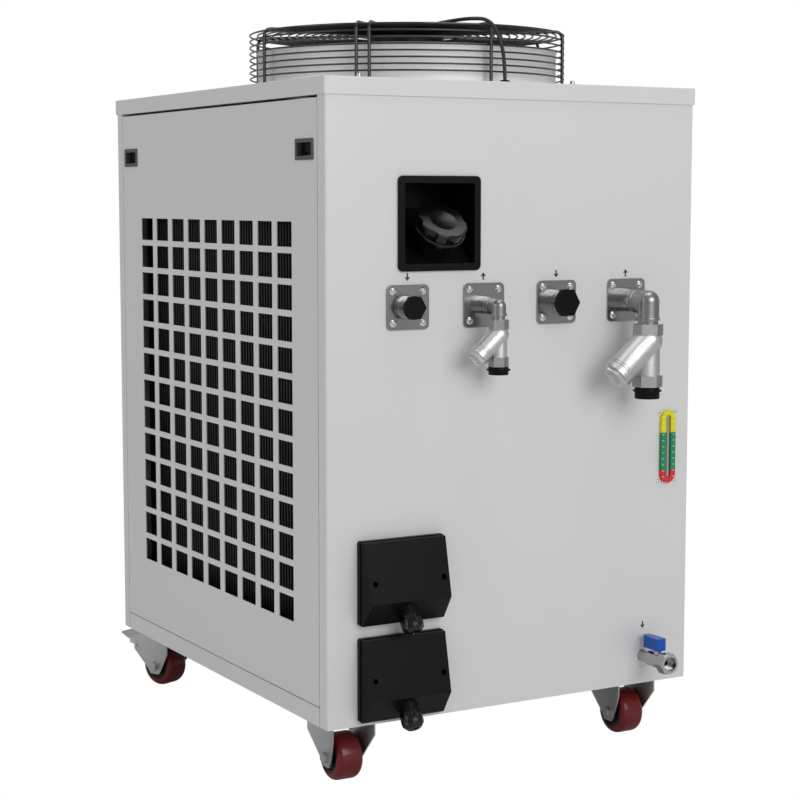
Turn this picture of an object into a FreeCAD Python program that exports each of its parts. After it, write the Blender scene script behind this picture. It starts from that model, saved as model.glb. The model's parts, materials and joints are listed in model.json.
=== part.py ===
"""Air-cooled water chiller with two circuits, in millimetres, +Z up.

The origin is the middle of the whole object's box, on the floor. The model is
drawn about the middle of the cabinet and moved there at the end. -Y is the pipe
side, -X is the grille side.
"""
import FreeCAD
import Part
import math
import os

os.makedirs("parts", exist_ok=True)
V = FreeCAD.Vector
X_AXIS = V(1, 0, 0)
Y_AXIS = V(0, 1, 0)
Z_AXIS = V(0, 0, 1)

# Cabinet
cabinet_width = 678.0
cabinet_depth = 830.0
cabinet_height = 954.0
ground_clearance = 106.0
sheet = 1.5
corner_return = 25.0
return_lip = 16.0
corner_radius = 3.0
seam = 1.5
rest_gap = 0.3
base_rail_height = 30.0
base_floor = 2.0
panel_reveal = 4.0
panel_fold = 16.0
panel_screw_drop = 22.5

# Lid
lid_height = 26.5
lid_overhang = 2.5
lid_lip = 20.0

# Grille
grille_columns = 9
grille_rows = 13
grille_pitch_y = 69.2
grille_pitch_z = 48.45
grille_hole_y = 52.0
grille_hole_z = 38.7
grille_bottom_row = 166.0

# Latches
latch_width = 60.0
latch_height = 32.0
latch_wall = 4.0
latch_depth = 18.0
latch_proud = 1.5
latch_edge_offset = 37.0
latch_top_offset = 63.0
paddle_thickness = 3.0
paddle_depth = 7.0
paddle_gap = 0.6
latch_pin_radius = 1.5
latch_skin = 2.0
latch_knuckle = 2.4
latch_pin_drop = 3.0
latch_grip = 5.0

# Fan
fan_y = -64.0
ring_radius = 253.0
ring_wall = 2.0
ring_above_lid = 64.0
ring_flange = 47.0
fan_bolt_offset = 202.0
fan_bolt_head = 8.0
fan_bolt_end = 6.0
guard_radius = 266.0
guard_above_lid = 100.0
guard_wire = 3.0
guard_stay_size = 6.0
guard_top_pitch = 13.0
guard_chords = 40
guard_side_rings = 8
guard_first_ring = 20.0
guard_ring_pitch = 10.4
guard_eye_radius = 72.0
guard_eye_rim = 10.0
guard_eye_seat = 6.0
motor_radius = 62.0
motor_height = 42.0
motor_edge = 4.0
motor_box_front = 40.0
motor_box_back = 8.0
motor_box_half = 14.0
motor_box_height = 10.0
rotor_gap = 1.0
hub_radius = 68.0
hub_height = 46.0
blade_count = 5
blade_tip_gap = 4.0
blade_chord = 170.0
blade_thickness = 3.0
blade_pitch = 20.0
shaft_radius = 8.0
shaft_length = 32.0
blade_root = 12.0
shaft_clearance = 0.05

# Fan cable
cable_radius = 3.0
cable_lift = 0.8
cable_outside = 21.0
cable_exit = 6.0
cable_tail = 1.0
grommet_radius = 8.0
grommet_height = 5.0

# Condenser
coil_thickness = 50.0
coil_gap = 14.0
coil_width = 700.0
coil_bottom = 110.0
coil_height = 780.0
coil_leg_inset = 30.0
coil_leg_half = 12.0
fin_pitch = 10.0
fin_groove = 6.0
fin_depth = 14.0

# Pipe connections, measured from the cabinet's left front edge and its floor
port_pitch = 135.5
first_port = 138.7
high_port_height = 638.0
low_port_height = 639.0
plate_width = 73.5
plate_height = 68.5
plate_thickness = 3.0
plate_corner = 8.0
plate_screw_x = 52.0
plate_screw_z = 48.0
stub_radius = 17.0
stub_wall = 3.0
stub_inside = 40.0
stub_groove = 1.6
stub_groove_place = 6.0
stub_ends = {
    "inlet_high": {"radius": 17.0, "front": 19.0},
    "outlet_high": {"radius": 14.0, "front": 24.0},
    "inlet_low": {"radius": 21.0, "front": 27.5},
    "outlet_low": {"radius": 20.0, "front": 34.0},
}
inlet_plugs = {
    "inlet_high": {"reach": 25.0, "flats": 34.0},
    "inlet_low": {"reach": 34.0, "flats": 41.0},
}
plug_collar = 2.5
plug_collar_edge = 1.0
plug_shank = 12.0
high_axis_reach = 45.0
low_axis_reach = 62.0

# Screws and bolts
plate_screw_radius = 2.5
plate_screw_head = 6.0
gauge_screw_radius = 1.5
gauge_screw_head = 3.4
screw_length = 10.0
screw_clearance = 0.15
dome_rise = 0.6
slot_half = 0.22
slot_reach = 0.62
slot_depth = 0.45
bolt_head_flats = 13.0

# Filler recess
filler_left = 121.7
filler_bottom = 692.0
filler_width = 145.3
filler_height = 144.0
filler_border = 11.5
filler_lip = 5.0
filler_wall = 2.5
filler_pocket = 100.0
filler_floor_start = 8.0
filler_floor_slope = 42.0
filler_corner = 8.0
neck_x = 195.4
neck_depth = 31.0
neck_base_radius = 24.0
neck_top_radius = 36.0
neck_length = 42.0
neck_bore_radius = 17.0
neck_spigot_radius = 20.0
neck_spigot_length = 26.0
collar_radius = 42.0
collar_thickness = 4.5
neck_thread_radius = 28.0
neck_thread_length = 9.0
cap_radius = 40.0
cap_height = 14.5
cap_lobes = 8
cap_scallop = 11.0
cap_scallop_depth = 4.5
cap_gap = 0.4
cap_roof = 4.0
cap_dish_radius = 140.0
cap_dish_depth = 2.0

# Level gauge
gauge_x = cabinet_width - 45.0
gauge_middle = 394.5
gauge_width = 29.0
gauge_height = 121.0
gauge_thickness = 6.0
gauge_slot_width = 9.0
gauge_slot_height = 98.0
gauge_tube_radius = 3.0
gauge_screw_offset_x = 17.0
gauge_screw_offset_z = 57.5

# Junction boxes
box_left = 51.5
box_width = 148.0
box_height = 130.0
box_bottoms = (157.0, 7.5)
box_base_depth = 8.0
box_top_depth = 17.0
box_full_depth = 41.0
box_chamfer_height = 38.0
box_low_depth = 12.0
box_side_slope = 4.0
box_wall = 2.5
box_gap = 1.5
box_corner = 4.0
box_hole_height = 68.0
box_hole_inset = 14.0
box_hole_radius = 4.5
box_post_wall = 1.8
box_post_floor = 3.0
box_screw_bite = 5.0
gland_tilt = 55.0
gland_place = 19.0
gland_boss_radius = 15.5
gland_boss_length = 9.0
gland_shank_radius = 12.0
gland_flats = 30.0
gland_flats_length = 6.0
gland_nut_radius = 17.5
gland_nut_length = 13.0
gland_dome_radius = 11.0
gland_dome_length = 7.0
gland_bore = 7.0

# Drain valve
drain_x = cabinet_width - 89.0
drain_height = 47.0
drain_nipple = 22.0
drain_nipple_radius = 9.0
drain_inside = 22.0
drain_reach = 76.0
drain_barrel_radius = 12.5
drain_body_flats = 32.0
drain_flats_length = 18.0
drain_port_radius = 12.0
drain_port_length = 15.0
drain_stem_place = 43.0
drain_stem_radius = 4.0
drain_stem_height = 30.0
drain_ball_radius = 9.0
drain_cavity_gap = 0.4
lever_length = 34.0
lever_width = 19.0
lever_height = 20.0
lever_end = 6.0
lever_gap = 1.5
stem_boss_wall = 3.0
stem_boss_rise = 1.0

# Casters
caster_inset_x = 68.0
caster_inset_y = 85.0
wheel_radius = 37.5
wheel_width = 45.0
hub_outer_radius = 26.0
axle_radius = 5.0
axle_clearance = 0.06
caster_plate_x = 80.0
caster_plate_y = 104.0
caster_plate_thickness = 3.0
fork_thickness = 2.5
fork_gap = 3.0
fork_top_half = 43.0
fork_flat_half = 17.0
fork_flare = 10.0
fork_tip = 15.0
swivel_trail = 30.0
swivel_angle = -22.0
swivel_race_radius = 29.0
swivel_race_height = 8.0
swivel_crown = 8.0
fork_web_reach = 18.0
fork_web_thickness = 5.0
fork_shoulder = 28.0
ear_front = 10.0
ear_half = 8.0
axle_nut_flats = 15.0
axle_nut_height = 6.0
kingpin_radius = 6.0
swivel_clearance = 0.3
pedal_pivot = 66.0
pedal_pivot_height = 73.0
pedal_reach = 126.0
pedal_width = 40.0
pedal_thickness = 3.0
pedal_rise = 10.0
pedal_tip = 18.0
pedal_heel = 8.0
pedal_bend = 14.0
pedal_crank = 2.0
cheek_drop = 10.0
cheek_end = 22.0
pedal_pin_radius = 3.0
caster_bolt_x = 52.0
caster_bolt_y = 88.0
caster_bolt_radius = 3.9
caster_bolt_hole = 4.2
bolt_head_height = 5.0

# Inside
tank_left = 112.0
tank_right = cabinet_width - 23.0
tank_front = 12.0
tank_back = 200.0
tank_bottom = 90.0
tank_top = 520.0
tank_leg = 20.0
hose_wall = 3.0
hose_fit = 0.05
hose_overlap = 14.0
spigot_radius = 17.0
spigot_length = 18.0
hose_depth = 95.0
fill_hose_depth = 80.0
drain_hose_depth = 60.0
compressor_radius = 92.0
compressor_height = 290.0
compressor_x = 470.0
compressor_y = 600.0
compressor_foot = 14.0
compressor_port_pitch = 70.0
copper_radius = 5.0
exchanger_width = 110.0
exchanger_depth = 72.0
exchanger_height = 300.0
exchanger_x = 250.0
exchanger_y = 540.0
exchanger_foot = 30.0
exchanger_port_inset = 30.0
exchanger_port_side = 27.0
drier_radius = 22.0
drier_length = 100.0
pump_x = 250.0
pump_y = 330.0
pump_head_radius = 58.0
pump_head_length = 42.0
pump_motor_radius = 50.0
pump_motor_length = 150.0
pump_axis_height = 120.0
ebox_width = 300.0
ebox_depth = 100.0
ebox_height = 380.0
ebox_bottom = 480.0

# Outlet fittings: one set in half-inch size and one in one-inch size
outlet_sizes = {
    "high": {"reach": high_axis_reach, "elbow": 11.0, "body": 13.0, "flats": 27.0,
             "top": 20.5, "hex": 15.0, "low_hex": 77.5, "branch": 43.5, "branch_radius": 15.5,
             "branch_length": 47.0, "cap_flats": 26.0, "plug": 12.5, "plug_radius": 15.5,
             "bar_length": 16.0, "bar_width": 7.0},
    "low": {"reach": low_axis_reach, "elbow": 17.5, "body": 19.5, "flats": 42.0,
            "top": 36.0, "hex": 18.0, "low_hex": 118.0, "branch": 62.5, "branch_radius": 23.5,
            "branch_length": 79.0, "cap_flats": 38.0, "plug": 19.0, "plug_radius": 20.0,
            "bar_length": 23.0, "bar_width": 9.0},
}
branch_slope = 41.0
elbow_nipple = 6.0
elbow_collar = 1.5
elbow_collar_length = 4.0
cap_bar_height = 5.0
hex_turn = 30.0
outlet_wall = 3.0
outlet_shank = 10.0
strainer_cap_height = 9.0
strainer_cap_shank = 8.0
plug_rim = 3.0

# Places that follow from the sizes
left = -cabinet_width / 2
right = cabinet_width / 2
front = -cabinet_depth / 2
back = cabinet_depth / 2
floor_z = ground_clearance
top_z = ground_clearance + cabinet_height
lid_top = top_z + lid_height


def from_left(distance):
    """X of a place measured from the left edge of the pipe side."""
    return left + distance


def from_front(distance):
    """Y of a place measured inwards from the pipe side."""
    return front + distance


def from_floor(height):
    """Z of a place measured from the underside of the cabinet."""
    return floor_z + height


def block(x0, y0, z0, x1, y1, z1):
    return Part.makeBox(x1 - x0, y1 - y0, z1 - z0, V(x0, y0, z0))


def rod(start, direction, radius, length):
    return Part.makeCylinder(radius, length, start, direction)


def tube(start, direction, outer, inner, length):
    return rod(start, direction, outer, length).cut(rod(start, direction, inner, length))


def prism(points, extent):
    """A flat outline pushed along extent."""
    return Part.Face(Part.makePolygon(points + [points[0]])).extrude(extent)


def turned(shape, start, direction):
    """Places a shape drawn up +Z at start, pointing along direction."""
    placed = shape.copy()
    placed.Placement = FreeCAD.Placement(start, FreeCAD.Rotation(Z_AXIS, direction))
    return placed


def hexagon(start, direction, flats, length, first=0.0):
    """A hexagonal bar whose first corner is turned by this many degrees."""
    reach = flats / math.sqrt(3)
    corners = []
    for step in range(6):
        turn = math.radians(first + 60 * step)
        corners.append(V(reach * math.cos(turn), reach * math.sin(turn), 0))
    return turned(prism(corners, V(0, 0, length)), start, direction)


def edges_along(shape, axis):
    """Straight edges that run along one axis."""
    found = []
    for edge in shape.Edges:
        if edge.Curve.TypeId != "Part::GeomLine":
            continue
        run = edge.Vertexes[1].Point - edge.Vertexes[0].Point
        if abs(abs(run.normalize().dot(axis)) - 1) < 1e-6:
            found.append(edge)
    return found


def rounded_block(x0, y0, z0, x1, y1, z1, radius, axis):
    solid = block(x0, y0, z0, x1, y1, z1)
    return solid.makeFillet(radius, edges_along(solid, axis))


def bend_points(points, index):
    """Tangent points and middle of the arc at one corner of a route."""
    before = points[index - 1] - points[index]
    after = points[index + 1] - points[index]
    half_turn = (math.pi - before.getAngle(after)) / 2
    setback = 0.45 * min(before.Length, after.Length)
    radius = setback / math.tan(half_turn)
    before.normalize()
    after.normalize()
    start = points[index] + before * setback
    end = points[index] + after * setback
    inward = (before + after).normalize()
    middle = points[index] + inward * (radius / math.cos(half_turn) - radius)
    return start, middle, end, radius


def route_wire(points):
    """Straight runs joined by the largest tangent arcs, and the arcs' radii."""
    edges = []
    radii = []
    here = points[0]
    for index in range(1, len(points) - 1):
        start, middle, end, radius = bend_points(points, index)
        edges.append(Part.LineSegment(here, start).toShape())
        edges.append(Part.Arc(start, middle, end).toShape())
        radii.append(radius)
        here = end
    edges.append(Part.LineSegment(here, points[-1]).toShape())
    return Part.Wire(edges), radii


def swept(points, radius):
    wire, radii = route_wire(points)
    ring = Part.Wire(Part.makeCircle(radius, points[0], points[1] - points[0]))
    return wire.makePipeShell([ring], True, False), wire.Length, radii


def swept_solid(points, radius):
    return swept(points, radius)[0]


def hose(points, outer, wall):
    return swept_solid(points, outer).cut(swept_solid(points, outer - wall))


def dome_screw(head_place, direction, shank_radius, head_radius, length):
    """A cross-slotted dome head on a shank that runs back against direction."""
    height = head_radius * dome_rise
    sphere = (head_radius ** 2 + height ** 2) / (2 * height)
    dome = Part.makeSphere(sphere, V(0, 0, height - sphere))
    dome = dome.common(Part.makeCylinder(head_radius, height))
    slot = head_radius * slot_half
    reach = head_radius * slot_reach
    depth = height * slot_depth
    dome = dome.cut(block(-reach, -slot, height - depth, reach, slot, height))
    dome = dome.cut(block(-slot, -reach, height - depth, slot, reach, height))
    screw = dome.fuse(Part.makeCylinder(shank_radius, length, V(0, 0, -length)))
    return turned(screw, head_place, direction)


def hex_bolt(head_place, direction, shank_radius, length, head_height):
    """A hexagon head standing on head_place, with its shank running back."""
    head = hexagon(V(0, 0, 0), Z_AXIS, bolt_head_flats, head_height)
    bolt = head.fuse(Part.makeCylinder(shank_radius, length, V(0, 0, -length)))
    return turned(bolt, head_place, direction)


def port_places():
    places = []
    for number in range(4):
        height = high_port_height if number < 2 else low_port_height
        places.append(V(from_left(first_port + number * port_pitch), front, from_floor(height)))
    return places


def plate_screw_places(port):
    places = []
    for x in (-plate_screw_x / 2, plate_screw_x / 2):
        for z in (-plate_screw_z / 2, plate_screw_z / 2):
            places.append(V(port.x + x, front - plate_thickness, port.z + z))
    return places


def gauge_screw_places():
    places = []
    for x in (-gauge_screw_offset_x, gauge_screw_offset_x):
        for z in (-gauge_screw_offset_z, gauge_screw_offset_z):
            places.append(V(from_left(gauge_x) + x, front, from_floor(gauge_middle) + z))
    return places


def drain_place():
    return V(from_left(drain_x), front, from_floor(drain_height))


# Sheet metal of the cabinet
def corner_panel(face_y, inward):
    """A face with its returns round both corners, each ending in an inner lip."""
    back_y = face_y + inward * corner_return
    inner_y = face_y + inward * sheet
    solid = block(left, min(face_y, back_y), floor_z, right, max(face_y, back_y), top_z)
    corners = [e for e in edges_along(solid, Z_AXIS) if abs(e.CenterOfMass.y - face_y) < 1]
    solid = solid.makeFillet(corner_radius, corners)
    lip_y = back_y - inward * sheet
    hollow = block(left + sheet, min(inner_y, lip_y), floor_z - 1,
                   right - sheet, max(inner_y, lip_y), top_z + 1)
    corners = [e for e in edges_along(hollow, Z_AXIS) if abs(e.CenterOfMass.y - inner_y) < 1]
    hollow = hollow.makeFillet(corner_radius - sheet, corners)
    inner_x = cabinet_width / 2 - sheet - return_lip
    mouth = block(-inner_x, min(lip_y, back_y) - 1, floor_z - 1,
                  inner_x, max(lip_y, back_y) + 1, top_z + 1)
    return solid.cut(hollow).cut(mouth)


def pipe_side_panel():
    panel = corner_panel(front, 1)
    holes = []
    for port in port_places():
        holes.append(rod(port - Y_AXIS, Y_AXIS, stub_radius + rest_gap, sheet + 2))
        for place in plate_screw_places(port):
            holes.append(rod(V(place.x, front - 1, place.z), Y_AXIS,
                             plate_screw_radius + screw_clearance, sheet + 2))
    for place in gauge_screw_places():
        holes.append(rod(place - Y_AXIS, Y_AXIS, gauge_screw_radius + screw_clearance, sheet + 2))
    holes.append(filler_pocket_block(filler_wall + rest_gap))
    nipple = drain_place()
    holes.append(rod(nipple - Y_AXIS, Y_AXIS, drain_nipple_radius + rest_gap, sheet + 2))
    for end in (-1, 1):
        z = from_floor(gauge_middle) + end * gauge_slot_height / 2
        holes.append(rod(V(from_left(gauge_x), front - 1, z), Y_AXIS,
                         gauge_tube_radius + rest_gap, sheet + 2))
    return panel.cut(Part.makeCompound(holes))


def control_side_panel():
    return corner_panel(back, -1)


def base_frame():
    """The floor tray with its two outer rails and its inner upturned flanges."""
    inside_x = cabinet_width / 2 - sheet - rest_gap
    inside_y = cabinet_depth / 2 - sheet - rest_gap
    rail_y = cabinet_depth / 2 - corner_return - seam
    tray = block(-inside_x, -inside_y, floor_z, inside_x, inside_y, floor_z + base_floor)
    corner_x = inside_x - return_lip - rest_gap
    corner_y = inside_y - corner_return - rest_gap
    for side_x in (-1, 1):
        for side_y in (-1, 1):
            x0 = min(side_x * corner_x, side_x * (inside_x + 1))
            x1 = max(side_x * corner_x, side_x * (inside_x + 1))
            y0 = min(side_y * corner_y, side_y * (inside_y + 1))
            y1 = max(side_y * corner_y, side_y * (inside_y + 1))
            tray = tray.cut(block(x0, y0, floor_z - 1, x1, y1, floor_z + base_floor + 1))
    rail_top = floor_z + base_rail_height
    for side in (-1, 1):
        outer = side * cabinet_width / 2
        inner = outer - side * sheet
        rail = block(min(outer, inner), -rail_y, floor_z, max(outer, inner), rail_y, rail_top)
        reach = side * (inside_x - 2)
        shelf = block(min(outer, reach), -corner_y, floor_z,
                      max(outer, reach), corner_y, floor_z + base_floor)
        tray = tray.fuse(rail).fuse(shelf)
        wall = side * inside_y
        flange = block(-corner_x, min(wall, wall - side * sheet), floor_z,
                       corner_x, max(wall, wall - side * sheet), rail_top)
        tray = tray.fuse(flange)
    tray = tray.cut(rod(drain_place(), Y_AXIS, drain_nipple_radius + rest_gap, 20))
    holes = [rod(place - Z_AXIS * 5, Z_AXIS, caster_bolt_hole, 10) for place in caster_bolt_places()]
    return tray.cut(Part.makeCompound(holes)).removeSplitter()


def side_panel(side):
    """A removable side panel with its edges folded inwards."""
    outer = side * cabinet_width / 2
    fold = outer - side * panel_fold
    half = cabinet_depth / 2 - corner_return - seam
    low = floor_z + base_rail_height
    high = top_z - panel_reveal
    panel = block(min(outer, fold), -half, low, max(outer, fold), half, high)
    face = outer - side * sheet
    hollow = block(min(face, fold - side), -half + sheet, low + sheet,
                   max(face, fold - side), half - sheet, high - sheet)
    return panel.cut(hollow)


def latch_centres():
    y = cabinet_depth / 2 - latch_edge_offset - latch_width / 2
    z = top_z - latch_top_offset - latch_height / 2
    return [V(left, -y, z), V(left, y, z)]


def grille_panel():
    panel = side_panel(-1)
    holes = []
    for row in range(grille_rows):
        z = from_floor(grille_bottom_row + row * grille_pitch_z)
        for column in range(grille_columns):
            y = (column - (grille_columns - 1) / 2) * grille_pitch_y
            holes.append(block(left - 1, y - grille_hole_y / 2, z - grille_hole_z / 2,
                               left + sheet + 1, y + grille_hole_y / 2, z + grille_hole_z / 2))
    for centre in latch_centres():
        half_y = latch_width / 2 - latch_wall + rest_gap
        half_z = latch_height / 2 - latch_wall + rest_gap
        holes.append(block(left - 1, centre.y - half_y, centre.z - half_z,
                           left + sheet + 1, centre.y + half_y, centre.z + half_z))
    holes.append(rod(panel_screw_place() - X_AXIS, X_AXIS,
                     gauge_screw_radius + screw_clearance, sheet + 2))
    return panel.cut(Part.makeCompound(holes))


def panel_screw_place():
    return V(left, 0, top_z - panel_screw_drop)


def plain_panel_screw_places():
    y = cabinet_depth / 2 - 2 * latch_width
    low = floor_z + base_rail_height + 2 * panel_screw_drop
    return [V(right, side * y, z) for side in (-1, 1) for z in (low, top_z - panel_screw_drop)]


def plain_side_panel():
    """The fixed side panel, held by four screws."""
    panel = side_panel(1)
    holes = [rod(place - X_AXIS * (sheet + 1), X_AXIS, gauge_screw_radius + screw_clearance, sheet + 2)
             for place in plain_panel_screw_places()]
    return panel.cut(Part.makeCompound(holes))


def lid():
    half_x = cabinet_width / 2 + lid_overhang
    half_y = cabinet_depth / 2 + lid_overhang
    outside = block(-half_x, -half_y, top_z, half_x, half_y, lid_top)
    outside = outside.makeFillet(corner_radius, edges_along(outside, Z_AXIS))
    upper = [e for e in outside.Edges if abs(e.BoundBox.ZMin - lid_top) < 1e-3]
    outside = outside.makeFillet(sheet, upper)
    inside = block(-half_x + sheet, -half_y + sheet, top_z + sheet,
                   half_x - sheet, half_y - sheet, lid_top - sheet)
    mouth_x = half_x - lid_lip
    mouth_y = half_y - lid_lip
    mouth = block(-mouth_x, -mouth_y, top_z - 1, mouth_x, mouth_y, top_z + sheet + 1)
    pan = outside.cut(inside).cut(mouth)
    pan = pan.cut(rod(V(0, fan_y, top_z), Z_AXIS, ring_radius - ring_wall, lid_height + 5))
    holes = [rod(place - Z_AXIS * 10, Z_AXIS, caster_bolt_hole, 20) for place in fan_bolt_places()]
    foot = cable_route()[-1]
    holes.append(rod(V(foot.x, foot.y, lid_top - 10), Z_AXIS, cable_radius + rest_gap, 20))
    return pan.cut(Part.makeCompound(holes))


def fan_bolt_places():
    """Four bolts hold the fan's flange down on the lid."""
    offset = fan_bolt_offset
    return [V(sx * offset, fan_y + sy * offset, lid_top + ring_wall)
            for sx in (-1, 1) for sy in (-1, 1)]


# Fan
def fan_ring():
    base = V(0, fan_y, lid_top)
    ring = tube(base, Z_AXIS, ring_radius, ring_radius - ring_wall, ring_above_lid)
    flange = tube(base, Z_AXIS, ring_radius + ring_flange, ring_radius - ring_wall, ring_wall)
    bead = Part.makeTorus(ring_radius - ring_wall / 2, ring_wall, base + Z_AXIS * ring_above_lid)
    holes = [rod(place - Z_AXIS * 10, Z_AXIS, caster_bolt_hole, 20) for place in fan_bolt_places()]
    foot = cable_route()[-1]
    holes.append(rod(V(foot.x, foot.y, lid_top - 1), Z_AXIS, cable_radius + rest_gap, ring_wall + 2))
    return ring.multiFuse([flange, bead]).cut(Part.makeCompound(holes))


def wire_ring(radius, z):
    """One round of guard wire, drawn as straight chords of square section."""
    corners_out = []
    corners_in = []
    for step in range(guard_chords):
        turn = 2 * math.pi * (step + 0.5) / guard_chords
        unit = V(math.cos(turn), math.sin(turn), 0)
        corners_out.append(V(0, fan_y, z) + unit * (radius + guard_wire / 2))
        corners_in.append(V(0, fan_y, z) + unit * (radius - guard_wire / 2))
    height = V(0, 0, guard_wire)
    return prism(corners_out, height).cut(prism(corners_in, height))


def guard_stay_angles():
    """Stays every 45 degrees, with a pair at the near left corner."""
    angles = [45.0 * step for step in range(8) if step != 5]
    return angles + [223.0, 227.5]


def guard_stay(angle):
    half = guard_stay_size / 2
    z_top = lid_top + guard_above_lid
    outer = guard_radius * math.cos(math.pi / guard_chords)
    upright = block(outer, -half, lid_top + ring_wall, outer + guard_stay_size, half, z_top)
    arm = block(guard_eye_radius, -half, z_top - guard_stay_size,
                outer + guard_stay_size, half, z_top)
    stay = upright.fuse(arm).removeSplitter()
    outer_x = outer + guard_stay_size
    corner = [e for e in edges_along(stay, Y_AXIS)
              if e.BoundBox.XMin > outer_x - 0.1 and e.BoundBox.ZMin > z_top - 0.1]
    stay = stay.makeFillet(guard_stay_size * 1.6, corner)
    stay.rotate(V(0, 0, 0), Z_AXIS, angle)
    stay.translate(V(0, fan_y, 0))
    return stay


def fan_guard():
    z_top = lid_top + guard_above_lid
    parts = []
    for step in range(guard_side_rings):
        z = lid_top + guard_first_ring + guard_ring_pitch * step
        parts.append(wire_ring(guard_radius, z))
    under_arm = z_top - guard_stay_size - guard_wire / 2
    radius = guard_radius
    while radius > guard_eye_radius + guard_top_pitch:
        parts.append(wire_ring(radius, under_arm))
        radius -= guard_top_pitch
    for angle in guard_stay_angles():
        parts.append(guard_stay(angle))
    eye = tube(V(0, fan_y, z_top - guard_stay_size), Z_AXIS,
               guard_eye_radius + guard_eye_rim, motor_radius - guard_eye_seat, guard_stay_size / 2)
    return parts[0].multiFuse(parts[1:] + [eye]).removeSplitter()


def motor_top():
    return lid_top + guard_above_lid - guard_stay_size


def fan_motor():
    """The fixed half of the motor, screwed up under the guard's eye."""
    top = V(0, fan_y, motor_top())
    body = rod(top, -Z_AXIS, motor_radius, motor_height)
    low_edges = [e for e in body.Edges if e.BoundBox.ZMax < top.z - motor_height + 0.1]
    body = body.makeFillet(motor_edge, low_edges)
    shaft = rod(top - Z_AXIS * motor_height, -Z_AXIS, shaft_radius, shaft_length)
    box = block(-motor_box_half, fan_y - motor_box_front, top.z - 1,
                motor_box_half, fan_y - motor_box_back, top.z + motor_box_height)
    return body.fuse(shaft).fuse(box)


def fan_impeller():
    hub_top = motor_top() - motor_height - rotor_gap
    centre = V(0, fan_y, hub_top)
    hub = rod(centre, -Z_AXIS, hub_radius, hub_height)
    tip_radius = ring_radius - ring_wall - blade_tip_gap
    middle_z = hub_top - hub_height / 2
    blades = []
    for number in range(blade_count):
        blade = block(hub_radius - blade_root, -blade_chord / 2, -blade_thickness / 2,
                      tip_radius + blade_root, blade_chord / 2, blade_thickness / 2)
        blade.rotate(V(0, 0, 0), X_AXIS, blade_pitch)
        blade.rotate(V(0, 0, 0), Z_AXIS, 360.0 / blade_count * number)
        blade.translate(V(0, fan_y, middle_z))
        blades.append(blade)
    sweep = tube(V(0, fan_y, middle_z - blade_chord / 2), Z_AXIS, tip_radius,
                 hub_radius - blade_root / 2, blade_chord)
    trimmed = [blade.common(sweep) for blade in blades]
    wheel = hub.multiFuse(trimmed)
    bore = rod(centre + Z_AXIS, -Z_AXIS, shaft_radius + shaft_clearance, shaft_length + 2)
    return wheel.cut(bore)


def cable_route():
    """The motor cable, from the motor over the guard and down to the lid."""
    over = lid_top + guard_above_lid + cable_radius + cable_lift
    start = motor_top() + cable_exit
    outside = fan_y - guard_radius - cable_outside
    return [
        V(-8, fan_y - motor_box_front, start),
        V(-8, fan_y - 62, start),
        V(-18, fan_y - 100, over),
        V(-30, fan_y - 150, over),
        V(-34, fan_y - 200, over),
        V(-26, fan_y - 246, over + 1),
        V(-8, fan_y - 277, over - 2),
        V(4, outside - 2, over - 32),
        V(14, outside, over - 70),
        V(14, outside, lid_top - cable_tail),
    ]


def fan_cable():
    solid, length, radii = swept(cable_route(), cable_radius)
    print("fan cable length %.1f, volume ratio %.4f, least radius %.1f" % (
        length, solid.Volume / (math.pi * cable_radius ** 2 * length), min(radii)))
    return solid


def cable_grommet():
    foot = cable_route()[-1]
    base = V(foot.x, foot.y, lid_top + ring_wall)
    body = rod(base, Z_AXIS, grommet_radius, grommet_height)
    body = body.makeFillet(2, [e for e in body.Edges if e.BoundBox.ZMin > base.z + 1])
    return body.cut(rod(base - Z_AXIS, Z_AXIS, cable_radius + hose_fit, grommet_height + 2))


# Condenser
def condenser_coil():
    x0 = left + panel_fold + coil_gap
    x1 = x0 + coil_thickness
    half = coil_width / 2
    low = from_floor(coil_bottom)
    core = block(x0, -half, low, x1, half, low + coil_height)
    grooves = []
    count = int((coil_width - 4 * fin_pitch) / fin_pitch)
    for number in range(count):
        y = -half + 2 * fin_pitch + number * fin_pitch
        grooves.append(block(x0 - 1, y, low + fin_pitch, x0 + fin_depth,
                             y + fin_groove, low + coil_height - fin_pitch))
    core = core.cut(Part.makeCompound(grooves))
    for side in (-1, 1):
        middle = side * (half - coil_leg_inset)
        leg = block(x0, middle - coil_leg_half, floor_z + base_floor, x0 + coil_thickness,
                    middle + coil_leg_half, low)
        core = core.fuse(leg)
    for end in (0.12, 0.88):
        stub = rod(V(x1, half - 40, low + coil_height * end), X_AXIS, copper_radius, 20)
        core = core.fuse(stub)
    return core.removeSplitter()


# Casters
def caster_centres():
    x = cabinet_width / 2 - caster_inset_x
    y = cabinet_depth / 2 - caster_inset_y
    return {
        "front_left": V(-x, -y, 0),
        "front_right": V(x, -y, 0),
        "back_left": V(-x, y, 0),
        "back_right": V(x, y, 0),
    }


def caster_bolt_places():
    places = []
    for centre in caster_centres().values():
        for x in (-caster_bolt_x / 2, caster_bolt_x / 2):
            for y in (-caster_bolt_y / 2, caster_bolt_y / 2):
                places.append(V(centre.x + x, centre.y + y, floor_z + base_floor))
    return places


def caster_plate():
    half_x = caster_plate_x / 2
    half_y = caster_plate_y / 2
    low = ground_clearance - caster_plate_thickness
    plate = rounded_block(-half_x, -half_y, low, half_x, half_y, ground_clearance, 8, Z_AXIS)
    for x in (-caster_bolt_x / 2, caster_bolt_x / 2):
        for y in (-caster_bolt_y / 2, caster_bolt_y / 2):
            plate = plate.cut(rod(V(x, y, low - 1), Z_AXIS, caster_bolt_hole, 6))
    return plate


def leg_inner():
    return wheel_width / 2 + fork_gap


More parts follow.
